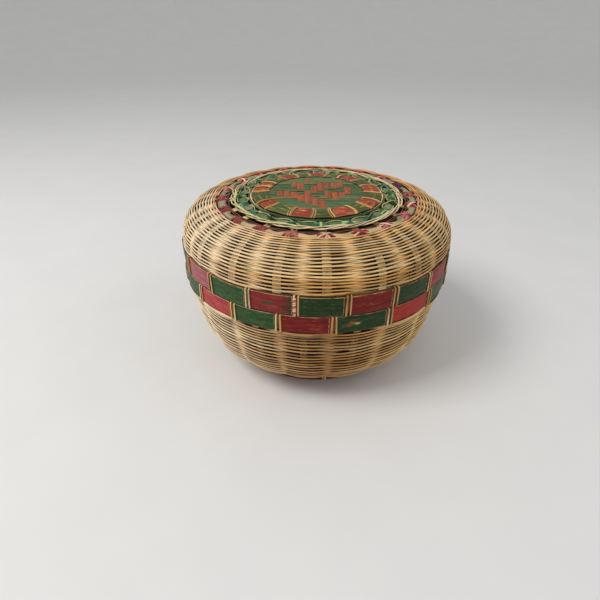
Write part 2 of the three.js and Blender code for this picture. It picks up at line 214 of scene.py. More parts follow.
def splint_section(width: float, thickness: float, crown: float = 0.0, across: int = 4) -> Array:
    """A flat section with softened edges.

    Args:
        width: Its width.
        thickness: Its thickness at the edges.
        crown: How far the middle of its outer face is raised.
        across: Number of points on the outer face.

    Returns:
        Its points, round from one edge of the outer face.
    """
    half, thick = width / 2, thickness / 2
    soft = min(thick * 0.6, half * 0.5)
    flat = np.linspace(half - soft, soft - half, across)
    face = np.stack([flat, thick + crown * (1 - (flat / (half - soft)) ** 2)], axis=1)
    rest = [(-half, thick - soft), (-half, soft - thick), (soft - half, -thick), (half - soft, -thick)]
    return np.concatenate([face, rest, [(half, soft - thick), (half, thick - soft)]])


@dataclass
class Lay:
    """The way that a strand takes: its points and, at each, its two side directions and its shade.

    The shade is painted shade: 0 where the outer face is open and 1 where it lies deep behind a stake.
    """

    path: Array
    across: Array
    outward: Array
    shade: Array | float = 0.0

    def __post_init__(self) -> None:
        """Gives each point its directions and shade where one stands for all."""
        self.across = np.broadcast_to(self.across, self.path.shape)
        self.outward = np.broadcast_to(self.outward, self.path.shape)
        self.shade = np.broadcast_to(self.shade, len(self.path))


def hoop_lay(angles: Array, radius: Array | float, height: Array | float) -> Lay:
    """The way of a splint that stands on edge round the axis."""
    return Lay(lifted(angles, radius, height), UP, outward_at(angles))


def free_lay(path: Array, outward: Array) -> Lay:
    """A way whose across direction follows from its run.

    Args:
        path: Its points.
        outward: Its outward directions, or roughly so.

    Returns:
        The way.
    """
    run = np.gradient(path, axis=0)
    run /= np.linalg.norm(run, axis=1)[:, None]
    across = np.cross(run, outward)
    across /= np.linalg.norm(across, axis=1)[:, None]
    return Lay(path, across, np.cross(across, run))


class Profile:
    """The outer line of one half, seen from the side and measured along its length."""

    def __init__(self, points: Array, side: int) -> None:
        """Keeps the line.

        Args:
            points: Radius and height of each point, the radius never growing.
            side: 1 where the outside is on the right of the line's run, -1 where it is on the left.
        """
        self.points = points
        self.along = distance_along(points)
        self.runs = np.gradient(points, self.along, axis=0)
        self.runs /= np.linalg.norm(self.runs, axis=1)[:, None]
        self.normals = np.stack([side * self.runs[:, 1], -side * self.runs[:, 0]], axis=1)

    def _between(self, values: Array, along: Array) -> tuple[Array, Array]:
        """Both columns of a table at the given lengths."""
        return np.interp(along, self.along, values[:, 0]), np.interp(along, self.along, values[:, 1])

    def length_at(self, radius: Array | float) -> Array:
        """Lengths at which the line crosses the given radii."""
        return np.interp(radius, self.points[::-1, 0], self.along[::-1])

    def place(self, along: Array, depth: Array | float, angles: Array) -> Array:
        """Points at a length along the line, a depth inside it and an angle."""
        (radius, height), (out, up) = self._between(self.points, along), self._between(self.normals, along)
        return lifted(angles, radius - out * depth, height - up * depth)

    def outward(self, along: Array, angles: Array) -> Array:
        """Directions straight out of the surface."""
        return lifted(angles, *self._between(self.normals, along))

    def onward(self, along: Array, angles: Array) -> Array:
        """Directions along the line."""
        return lifted(angles, *self._between(self.runs, along))

    def lay(self, along: Array, depth: Array, angles: Array, shade: Array | float = 0.0) -> Lay:
        """The way of a strand that runs round, at lengths along the line and depths inside it."""
        path = self.place(along, depth, angles)
        return Lay(path, self.onward(along, angles), self.outward(along, angles), shade)

    def ring(self, radius: Array, depth: Array, angles: Array) -> Lay:
        """The way of a strand that runs round at radii and at depths inside the line."""
        return self.lay(self.length_at(radius), depth, angles)

    def free(self, radius: Array, depth: Array, angles: Array) -> Lay:
        """The same for a strand that runs in any direction."""
        along = self.length_at(radius)
        return free_lay(self.place(along, depth, angles), self.outward(along, angles))


class Bundle:
    """Strands and splints gathered into one mesh, with the grain that their finish reads.

    Each corner of a face carries three readings. The grain is where it lies along and round its strand,
    with a number of the strand's own. The edge is how far it is from the strand's edges and ends. The
    tint is a colour, and its alpha tells how far the face looks out: 1 outside, 0.5 at the sides or in
    the shade, 0 inside. The finishes darken the colour by this alpha: painted shade.
    """

    sharp_angle = 52
    far_from_ends = 99.0
    cap_grain = (0.37, 3.0)

    def __init__(self, name: str, chance: int | Random = 0) -> None:
        """Starts an empty bundle.

        Args:
            name: Name of the piece.
            chance: Seed or source of the small differences between its strands.
        """
        self.name = name
        self.rng = np.random.default_rng(chance)
        self.points: list[Array] = []
        self.faces: list[tuple[int, ...]] = []
        self.grain: list[Array] = []
        self.edge: list[Array] = []
        self.tint: list[Array] = []
        self.count = 0
        self.grains = np.random.default_rng(sum(ord(letter) * (n + 1) for n, letter in enumerate(name)))

    def sweep(self, lay: Lay, section: Array, tint: Array | Colour, closed: bool = False) -> None:
        """Adds a strand.

        Args:
            lay: The way that it takes.
            section: One section, or one for each point of the way.
            tint: One colour, or one for each point of the way, or for each point of each section.
            closed: Whether its end meets its start.
        """
        total = len(lay.path)
        sections = np.broadcast_to(section, (total, *np.shape(section)[-2:]))
        sides = sections.shape[1]
        across = sections[..., 0, None] * lay.across[:, None]
        outward = sections[..., 1, None] * lay.outward[:, None]
        self.points.append((lay.path[:, None] + across + outward).reshape(-1, 3))
        first, self.count = self.count, self.count + total * sides

        # The four corners of each face: which point of the way, and which point of the section
        row, side = (grid.ravel() for grid in np.mgrid[:total if closed else total - 1, :sides])
        rows = np.stack([row, row, row + 1, row + 1], axis=1)
        turns = np.stack([side, side + 1, side + 1, side], axis=1)
        run = np.einsum("ij,ij->i", np.cross(lay.across, lay.outward), np.gradient(lay.path, axis=0))
        backwards = bool(np.median(run) > 0)
        if backwards:
            rows, turns = rows[:, ::-1], turns[:, ::-1]
        at = rows % total, turns % sides
        self.faces.extend(map(tuple, (first + at[0] * sides + at[1]).tolist()))

        length = distance_along(np.concatenate([lay.path, lay.path[:1]]) if closed else lay.path)
        shape = sections[total // 2]
        outline = np.concatenate([shape, shape[:1]])
        seed = self.grains.uniform(0, 500)
        # The grain of a closed strand starts anew at its back
        onward = length[rows] + (row < total // 2)[:, None] * (length[-1] if closed else 0.0)
        grain = np.stack([onward, distance_along(outline)[turns], np.full(rows.shape, seed)], axis=-1)
        self.grain.append(grain.reshape(-1, 3))
        ends = self.far_from_ends if closed else np.minimum(length[rows], length[-1] - length[rows])
        reach = np.abs(shape[:, 0]).max() - np.abs(outline[:, 0])
        self.edge.append(np.minimum(reach[turns], ends).ravel())

        tints = np.asarray(tint, dtype=float)
        tints = tints[:, None] if tints.ndim == 2 else tints
        tints = np.broadcast_to(tints, (total, sides, 3))[at]
        facing = (shape[:, 1] / np.abs(shape[:, 1]).max())[at[1]]
        # Outer faces deep behind a stake look out less, so the finish darkens them: painted shade
        facing = (np.where(facing > 0, facing * (1 - lay.shade[at[0]]), facing) + 1) / 2
        self.tint.append(np.concatenate([tints, facing[..., None]], axis=-1).reshape(-1, 4))
        if closed:
            return
        for row, tint, forward in ((0, tints[0, 0], backwards), (total - 1, tints[-1, -1], not backwards)):
            corners = range(first + row * sides, first + (row + 1) * sides)
            self.faces.append(tuple(corners if forward else reversed(corners)))
            self.grain.append(np.tile([row * self.cap_grain[0], 0.0, seed + self.cap_grain[1]], (sides, 1)))
            self.edge.append(np.zeros(sides))
            # The ends count as sides, so the finish shades them: painted shade
            self.tint.append(np.tile([*tint, 0.5], (sides, 1)))

    def hoop(self, radii: Sequence[float], heights: Sequence[float], tint: Colour, step: float = 3.0) -> None:
        """Adds a flat splint on edge round the axis, between two radii and between two heights."""
        lay = hoop_lay(np.arange(0, 360, step), sum(radii) / 2, sum(heights) / 2)
        self.sweep(lay, splint_section(heights[1] - heights[0], radii[1] - radii[0]), tint, closed=True)

    def finish(self, finish: "Finish", body: Body, replaces: Sequence[str]) -> None:
        """Writes the mesh, dresses it and hands it to a half of the basket.

        Args:
            finish: Its finish.
            body: The half that it moves with.
            replaces: The solids that it stands for.
        """
        mesh = bpy.data.meshes.new(self.name)
        mesh.from_pydata((np.concatenate(self.points) * METRE).tolist(), [], self.faces)
        mesh.shade_smooth()
        mesh.set_sharp_from_angle(angle=math.radians(self.sharp_angle))
        readings = [("grain", "FLOAT_VECTOR", "vector", self.grain), ("edge", "FLOAT", "value", self.edge),
                    ("tint", "FLOAT_COLOR", "color", self.tint)]
        for name, kind, key, values in readings:
            mesh.attributes.new(name, kind, "CORNER").data.foreach_set(key, np.concatenate(values).ravel())
        mesh.materials.append(finish.material())
        piece = bpy.data.objects.new(self.name, mesh)
        bpy.context.scene.collection.objects.link(piece)
        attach(piece, body.value)
        if replaces:
            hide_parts(*replaces)
        LOG.info("%s: %d faces", self.name, len(self.faces))


# Shader maths


class Signal:
    """A value in a finish that can be used in plain arithmetic."""

    def __init__(self, shader: "Shader", socket: bpy.types.NodeSocket) -> None:
        """Wraps a node's output."""
        self.shader = shader
        self.socket = socket

    def __add__(self, other: "Term") -> "Signal":
        """The sum."""
        return self.shader.maths("ADD", self, other)

    __radd__ = __add__

    def __sub__(self, other: "Term") -> "Signal":
        """The difference."""
        return self.shader.maths("SUBTRACT", self, other)

    def __rsub__(self, other: "Term") -> "Signal":
        """The difference, the other way round."""
        return self.shader.maths("SUBTRACT", other, self)

    def __mul__(self, other: "Term") -> "Signal":
        """The product."""
        return self.shader.maths("MULTIPLY", self, other)

    __rmul__ = __mul__

    def step(self, low: float, high: float) -> "Signal":
        """A smooth step between two values, of which the second may be the lower.

        Args:
            low: Where the step is at 0.
            high: Where it reaches 1.

        Returns:
            The step, from 0 to 1.
        """
        sockets = {"Value": self, "From Min": min(low, high), "From Max": max(low, high),
                   "To Min": float(low > high), "To Max": float(low < high)}
        return self.shader.signal("ShaderNodeMapRange", {"interpolation_type": "SMOOTHSTEP"}, sockets)


Term = Signal | float


class Shader:
    """A material under construction."""

    def __init__(self, name: str) -> None:
        """Starts a material with one surface shader.

        Args:
            name: What the material is called.
        """
        self.result = bpy.data.materials.new(name)
        self.result.use_nodes = True
        self.tree = self.result.node_tree
        self.tree.nodes.clear()
        self.surface = self.node("ShaderNodeBsdfPrincipled", {}, {"Specular IOR Level": 0.22})
        output = self.node("ShaderNodeOutputMaterial", {}, {})
        self.tree.links.new(self.surface.outputs["BSDF"], output.inputs["Surface"])

    def node(self, kind: str, settings: Settings, sockets: Sockets) -> bpy.types.Node:
        """Adds a node.

        Args:
            kind: The node's type.
            settings: Its settings, which are set first.
            sockets: Values or signals for its inputs, by name or number.

        Returns:
            The node.
        """
        node = self.tree.nodes.new(kind)
        for key, value in settings.items():
            setattr(node, key, value)
        for key, value in sockets.items():
            socket = node.inputs[key]
            if isinstance(value, Signal):
                self.tree.links.new(value.socket, socket)
            else:
                socket.default_value = (*value, 1.0) if socket.type == "RGBA" else value
        return node

    def signal(self, kind: str, settings: Settings, sockets: Sockets, out: str | int = 0) -> Signal:
        """Adds a node and gives back one of its outputs."""
        return Signal(self, self.node(kind, settings, sockets).outputs[out])

    def maths(self, operation: str, *terms: Term) -> Signal:
        """Adds a Math node."""
        return self.signal("ShaderNodeMath", {"operation": operation}, dict(enumerate(terms)))

    def reading(self, name: str, out: str) -> Signal:
        """Reads a value that the mesh carries."""
        settings = {"attribute_type": "GEOMETRY", "attribute_name": name}
        return self.signal("ShaderNodeAttribute", settings, {}, out)

    def noise(self, place: Signal, stretch: tuple[float, float, float], detail: float) -> Signal:
        """Noise over a place.

        Args:
            place: Where the noise is read.
            stretch: The factor along each direction.
            detail: How many finer layers the noise has.

        Returns:
            The noise, from 0 to 1.
        """
        scaled = self.signal("ShaderNodeVectorMath", {"operation": "MULTIPLY"}, {0: place, 1: stretch})
        sockets = {"Vector": scaled, "Scale": 1.0, "Detail": detail, "Roughness": 0.6}
        return self.signal("ShaderNodeTexNoise", {}, sockets, "Fac")

    def mix(self, first: Signal | Colour, second: Signal | Colour, share: Term, blend: str = "MIX") -> Signal:
        """A colour part of the way from the first to the second, or to their product."""
        settings = {"data_type": "RGBA", "blend_type": blend}
        return self.signal("ShaderNodeMix", settings, {0: share, 6: first, 7: second}, 2)

    def shaded(self, base: Signal, amount: Signal) -> Signal:
        """A colour made darker or lighter by a factor."""
        return self.signal("ShaderNodeVectorMath", {"operation": "SCALE"}, {0: base, "Scale": amount})

    def dress(self, base: Signal, roughness: Signal, height: Signal, relief: float) -> bpy.types.Material:
        """Finishes the material.

        Args:
            base: Its colour.
            roughness: Its roughness.
            height: Its fine relief, from 0 to 1.
            relief: How high the relief is, in millimetres.

        Returns:
            The material.
        """
        sockets = {"Height": height, "Strength": 1.0, "Distance": relief * METRE}
        bump = self.signal("ShaderNodeBump", {}, sockets, "Normal")
        for name, signal in (("Base Color", base), ("Roughness", roughness), ("Normal", bump)):
            self.tree.links.new(signal.socket, self.surface.inputs[name])
        return self.result


@dataclass(frozen=True)
class Finish:
    """A bare cane or splint finish: tinted strand by strand, streaked along its fibres, with painted shade.

    Attributes:
        name: Name of the material.
        slot: The record's slot; not used.
        roughness: Roughness of unstained fibre.
        streaks: How much the fibres differ in lightness.
        stains: How dark the dull patches are.
        relief: Height of the fibres, in millimetres.
        fibres: Fibres per millimetre of width.
        crevice_shade: What is left of the colour where two strands meet: painted shade.
        inside: What is left of it on the faces that look into the basket: painted shade.
    """

    name: str
    slot: str
    roughness: float = 0.48
    streaks: float = 0.34
    stains: float = 0.3
    relief: float = 0.12
    fibres: float = 1.6
    crevice_shade: float = 0.3
    inside: float = 0.6

    def material(self) -> bpy.types.Material:
        """The material, made at its first use."""
        return bpy.data.materials.get(self.name) or self.make(Shader(self.name))

    def unshaded_share(self, facing: Signal) -> Signal:
        """How much of the colour the painted shade leaves: all of it outside, least between two strands."""
        outside = facing.step(0.5, 0.85) * (1.0 - self.crevice_shade)
        return outside + facing.step(0.4, 0.1) * (self.inside - self.crevice_shade) + self.crevice_shade

    def make(self, shader: Shader) -> bpy.types.Material:
        """Builds the nodes.

        Args:
            shader: The material under construction.

        Returns:
            The material.
        """
        place = shader.reading("grain", "Vector")
        tint = shader.reading("tint", "Color")
        fibre = shader.noise(place, (0.07, self.fibres, 1.0), 4.0)
        patch = shader.noise(place, (0.05, 0.16, 1.0), 2.0)
        speck = shader.noise(place, (0.9, 1.7, 1.0), 1.0).step(0.66, 0.74)
        light = 1.0 + (fibre - 0.5) * (self.streaks * 2) + (patch - 0.5) * 0.5
        stain = patch.step(0.52, 0.34) * self.stains + speck * (self.stains * 0.8)
        unshaded = self.unshaded_share(shader.reading("tint", "Alpha"))
        base = shader.shaded(tint, light * (1.0 - stain) * unshaded)
        # The painted shade is warmed, as in the shade the light has already met the cane around
        base = shader.mix(base, DUSK_BROWN, 1.0 - unshaded, "MULTIPLY")
        roughness = self.roughness + (fibre - 0.5) * 0.25 + stain * 0.3
        return shader.dress(base, roughness, fibre, self.relief)


@dataclass(frozen=True)
class PaintedFinish(Finish):
    """Paint on a splint, rubbed pale along the edges and in streaks, and worn through in spots.

    Attributes:
        rubbed: The colour of rubbed edges.
        worn: The colour of worn spots.
        wear: How far in from the edges the paint is rubbed, in millimetres.
        scratches: How much of the face is rubbed in streaks.
        soundness: How much of the face is free of worn spots, from 0.5 for little to 0.7 for all.
    """

    rubbed: Colour = RUBBED_CREAM
    worn: Colour = WORN_OCHRE
    wear: float = 0.3
    scratches: float = 0.6
    soundness: float = 0.61

    def make(self, shader: Shader) -> bpy.types.Material:
        """Builds the nodes.

        Args:
            shader: The material under construction.

        Returns:
            The material.
        """
        place = shader.reading("grain", "Vector")
        tint = shader.reading("tint", "Color")
        edge = shader.reading("edge", "Fac")
        fibre = shader.noise(place, (0.06, self.fibres, 1.0), 4.0)
        coarse = shader.noise(place, (0.11, 0.5, 1.0), 3.0)
        fine = shader.noise(place, (0.35, 2.6, 1.0), 3.0)
        ragged = edge + (coarse - 0.5) * (self.wear * 4) + (fine - 0.5) * (self.wear * 2)
        bare = ragged.step(self.wear * 1.2, self.wear * 0.1) * 0.75
        streak = (fine * 0.5 + fibre * 0.5).step(0.52, 0.7) * self.scratches
        spot = (coarse * 0.75 + fine * 0.25).step(self.soundness, self.soundness + 0.08) * 0.7
        light = 1.0 + (fibre - 0.5) * (self.streaks * 2) + (coarse - 0.5) * 1.6
        painted = shader.shaded(tint, light)
        painted = shader.mix(painted, shader.shaded(shader.mix(tint, self.rubbed, 0.3), light), streak)
        base = shader.mix(shader.mix(painted, self.worn, spot), self.rubbed, bare)
        dirt = fine.step(0.42, 0.3) * self.stains
        # Painted shade between strands and on inner faces, as in the bare finish, on top of the dirt
        base = shader.shaded(base, (1.0 - dirt) * self.unshaded_share(shader.reading("tint", "Alpha")))
        roughness = self.roughness + bare * 0.2 + (coarse - 0.5) * 0.2
        return shader.dress(base, roughness, fibre - bare * 0.5, self.relief)


CANE = Finish("woven_strands", "cane", crevice_shade=0.03, inside=0.42)
SPLINT = Finish("flat_splint", "bamboo", roughness=0.5, streaks=0.3, relief=0.08, fibres=2.2)
TIE_CANE = Finish("tie_cane", "pale_cane", roughness=0.45, streaks=0.3, stains=0.4, fibres=1.8)
PALE_TWINE = Finish("pale_twine", "pale_cane", roughness=0.5, streaks=0.3, stains=0.35)
RED_STRAND = Finish("red_strand", "red_cane", roughness=0.45, streaks=0.4, stains=0.35)
GREEN_STRAND = Finish("green_strand", "green_cane", roughness=0.45, streaks=0.4, stains=0.35)
GREEN_RING = Finish("green_ring_splint", "green_cane", roughness=0.5, streaks=0.3, relief=0.08)
PAINTED_HOOP = PaintedFinish("hoop_paint", "painted_splint", roughness=0.45, streaks=0.45, stains=0.35,
                             fibres=1.4)
DYED_SPLINT = PaintedFinish("dyed_splint", "dyed_plait", roughness=0.5, streaks=0.6, relief=0.1, fibres=1.8,
                            worn=TIE_YELLOW, soundness=0.56)
DYED_PLAIT = PaintedFinish("dyed_twill", "dyed_plait", roughness=0.5, streaks=0.8, stains=0.5, fibres=2.6,
                           wear=0.2, scratches=0.5, rubbed=TWILL_OLIVE, worn=TWILL_DARK)


# The rim


@dataclass(frozen=True)
class Rim:
    """Radii in a rim, from the outside in."""

    tie_outside: float = 105.8
    outside: float = 105.0
    inside: float = 103.0
    weave_middle: float = 102.3
    weave_thickness: float = 0.8
    stake_middle: float = 101.1
    plain_outside: float = 100.3


RIM = Rim()


@dataclass
class PlainHoop:
    """A smooth hoop of bare splint."""

    name: str
    replaces: str
    body: Body
    radii: tuple[float, float]
    heights: tuple[float, float]
    tint: Colour = PLAIN_SPLINT

    def build(self) -> None:
        """Makes the hoop."""
        bundle = Bundle(self.name)
        bundle.hoop(self.radii, self.heights, self.tint, step=2.5)
        bundle.finish(SPLINT, self.body, [self.replaces])


@dataclass
class PaintedHoop:
    """The outer hoop of a rim: a plain core with painted splints on it between the ties."""

    body: Body
    low: float
    high: float
    ties: Array
    tints: list[Array | Colour]
    # Of another paint: angle, height, length, breadth and colour
    smears: list[tuple[float, float, float, float, Colour]]
    # Colours that run into the start of single splints
    ends: dict[int, Colour] = field(default_factory=dict)
    tie_half: float = 2.1
    dark_gap: float = 0.9
    face: float = 1.2
    core_inset: float = 0.4
    points: int = 45
    seed: int = 5

    def build(self) -> None:
        """Makes the core and the painted splints."""
        self.core()
        self.splints()

    def core(self) -> None:
        """Makes the plain hoop under the paint."""
        bundle = Bundle(f"{self.body.value}_hoop_core")
        heights = (self.low + self.core_inset, self.high - self.core_inset)
        # Its brown also stands for the shade in the gaps between the painted splints: painted shade
        bundle.hoop((RIM.inside, RIM.outside - self.face), heights, BROWN_CANE)
        bundle.finish(SPLINT, self.body, [])

    def splints(self) -> None:
        """Makes the painted splints, each a little bowed and tilted."""
        bundle = Bundle(f"{self.body.value}_painted_hoop", self.seed)
        rng = bundle.rng
        middle, height = (self.low + self.high) / 2, self.high - self.low
        share = np.linspace(0, 1, self.points)
        for number, (start, end) in enumerate(zip(self.ties, following(self.ties))):
            first = start + math.degrees(self.tie_half * 0.55 / RIM.outside)
            last = end - math.degrees((self.tie_half + self.dark_gap * rng.uniform(0.6, 1.2)) / RIM.outside)
            angles = np.linspace(first, last, self.points)
            bow = np.sin(share * math.pi) * rng.uniform(0.05, 0.3)
            radius = RIM.outside - self.face / 2 + bow + rng.uniform(-0.1, 0.1)
            tilt = (share * 2 - 1) * rng.uniform(-0.25, 0.25)
            lay = hoop_lay(angles, radius, middle + tilt + rng.uniform(-0.1, 0.1))
            section = splint_section(height * rng.uniform(0.97, 1.0), self.face, crown=0.18, across=16)
            tint = np.array(self.tints[number]) * rng.uniform(0.9, 1.12)
            tints = blended(tint, self.ends.get(number, tint), (share * 3 - 2.2).clip(0, 1)[:, None])
            bundle.sweep(lay, section, self.smeared(tints, angles, middle + section[:, 0]))
        bundle.finish(PAINTED_HOOP, self.body, [f"{self.body.value}_outer_hoop"])

    def smeared(self, tints: Array, angles: Array, heights: Array) -> Array:
        """Puts the smears on a splint.

        Args:
            tints: Its colours along its run.
            angles: Its angles along its run.
            heights: Heights of the points of its section.

        Returns:
            Its colours for each angle and height.
        """
        tints = np.tile(tints[:, None], (1, len(heights), 1))
        for angle, height, length, breadth, smear in self.smears:
            along = np.radians(apart(angles, angle))[:, None] * RIM.outside * 2 / length
            share = 0.9 * np.exp(-((along**2 + ((heights - height) * 2 / breadth) ** 2) ** 2))
            tints = blended(tints, smear, share[..., None])
        return tints


@dataclass
class Tie:
    """A cane tie round hoops: a rounded loop of two strands side by side."""

    inside: float
    outside: float
    low: float
    high: float
    thickness: float = 0.5
    soft: float = 0.7
    bow: float = 0.12

    def loop(self) -> tuple[Array, Array]:
        """Points of the loop.

        Returns:
            Radius and height of each point, and the loop's outward directions.
        """
        inset = self.thickness / 2 + self.soft
        left, right = self.inside + inset, self.outside - inset
        low, high = self.low + inset, self.high - inset
        points, outs = [], []
        corners = ((right, high), (left, high), (left, low), (right, low))
        for start, middle in zip((0, 90, 180, 270), corners):
            for turn in (0, 30, 60, 90):
                out = np.array([math.cos(math.radians(start + turn)), math.sin(math.radians(start + turn))])
                outs.append(out)
                points.append(middle + self.soft * out)
        for share in (0.2, 0.5, 0.8):
            bow = self.soft + self.bow * math.sin(share * math.pi)
            outs.append((1.0, 0.0))
            points.append((right + bow, low - self.soft + (high - low + 2 * self.soft) * share))
        return np.array(points), np.array(outs)

    def strand(
        self, bundle: Bundle, angle: float, aside: float, lean: float, width: float, tint: Colour
    ) -> None:
        """Adds one strand of the tie.

        Args:
            bundle: What it is added to.
            angle: Angle of the tie.
            aside: How far the strand lies beside that angle.
            lean: How far its upper end leans along the rim.
            width: Its width.
            tint: Its colour.
        """
        points, outs = self.loop()
        out, along = outward_at(angle), round_at(angle)
        shift = lean * (points[:, 1] - self.low) / (self.high - self.low) - lean / 2
        path = points[:, :1] * out + points[:, 1:] * UP + (aside + shift)[:, None] * along
        lay = Lay(path, along, outs[:, :1] * out + outs[:, 1:] * UP)
        bundle.sweep(lay, splint_section(width, self.thickness, crown=0.12), tint, closed=True)

    def beads(self, bundle: Bundle, angle: float) -> None:
        """Winds a strand round the left strand, so that it looks beaded.

        Args:
            bundle: What it is added to.
            angle: Angle of the tie.
        """
        share = np.linspace(-1, 1, 7)
        for number, height in enumerate(np.arange(self.low + 1.4, self.high - 1.0, 1.45)):
            at = angle + np.degrees((share * 0.95 - 1.2) / self.outside)
            radius = self.outside - 0.1 + 0.35 * np.sqrt(1 - share**2 * 0.98)
            lay = free_lay(lifted(at, radius, height + share * 0.35), outward_at(at))
            tint = (KNOT_PALE, KNOT_PINK, TIE_CREAM)[number % 3]
            bundle.sweep(lay, splint_section(bundle.rng.uniform(1.0, 1.25), 0.4, crown=0.15), tint)


@dataclass
class Ties:
    """The ties of one rim, each a piece of its own."""

    body: Body
    angles: Array
    tie: Tie
    pairs: dict[int, tuple[Colour, Colour]]
    beaded: int | None = None
    strand: float = 1.45
    seed: int = 3
    common: tuple[Colour, ...] = (TIE_CREAM, TIE_TAN, TIE_GREY)

    def build(self) -> None:
        """Makes the ties."""
        rng = np.random.default_rng(self.seed)
        for number, angle in enumerate(self.angles):
            bundle = Bundle(f"{self.body.value}_tie_{number + 1:02d}", rng)
            pair = self.pairs.get(number)
            for side in (-1, 1):
                tint = pair[(side + 1) // 2] if pair else self.common[rng.integers(len(self.common))]
                lean = rng.uniform(-0.5, 0.5)
                aside = side * (self.strand * 0.5 + rng.uniform(0.45, 0.95))
                self.tie.strand(bundle, angle, aside, lean, self.strand * rng.uniform(0.75, 1.0), tint)
            if number == self.beaded:
                self.tie.beads(bundle, angle)
            bundle.finish(TIE_CANE, self.body, [f"{self.body.value}_lashing_{number + 1:02d}"])


# The woven walls


@dataclass
class Stakes:
    """Flat stakes of one half."""

    count: int
    start: float
    # How far single stakes are off their even places, in degrees; the others stray by chance
    strays: dict[int, float]
    width_rim: float
    width_hub: float
    tints: tuple[Colour, Colour]
    seed: int
    thickness: float = 0.7
    stray: float = 0.7

    def angles(self) -> Array:
        """Where the stakes stand.

        Returns:
            Their angles, growing.
        """
        rng = np.random.default_rng(self.seed)
        strays = rng.uniform(-self.stray, self.stray, self.count)
        for index, value in self.strays.items():
            strays[index % self.count] = value
        return self.start + np.arange(self.count) * 360 / self.count + strays

    def spots(self) -> tuple[Array, Array]:
        """Where a row of the weave needs points.

        Returns:
            The angles, and how far the row is to the outside (1) or inside (-1) at each if it passes in
            front of the first stake.
        """
        stakes = self.angles()
        shares = np.array([0.0, 0.085, 0.14, 0.22, 0.32, 0.42, 0.5, 0.58, 0.68, 0.78, 0.86, 0.915])
        flat = shares[1]
        turn = np.clip((shares - flat) / (1 - 2 * flat), 0, 1)
        angles = stakes[:, None] + (following(stakes) - stakes)[:, None] * shares
        signs = np.where(np.arange(self.count) % 2 == 0, 1, -1)
        return angles.ravel(), (signs[:, None] * np.cos(turn * math.pi)).ravel()


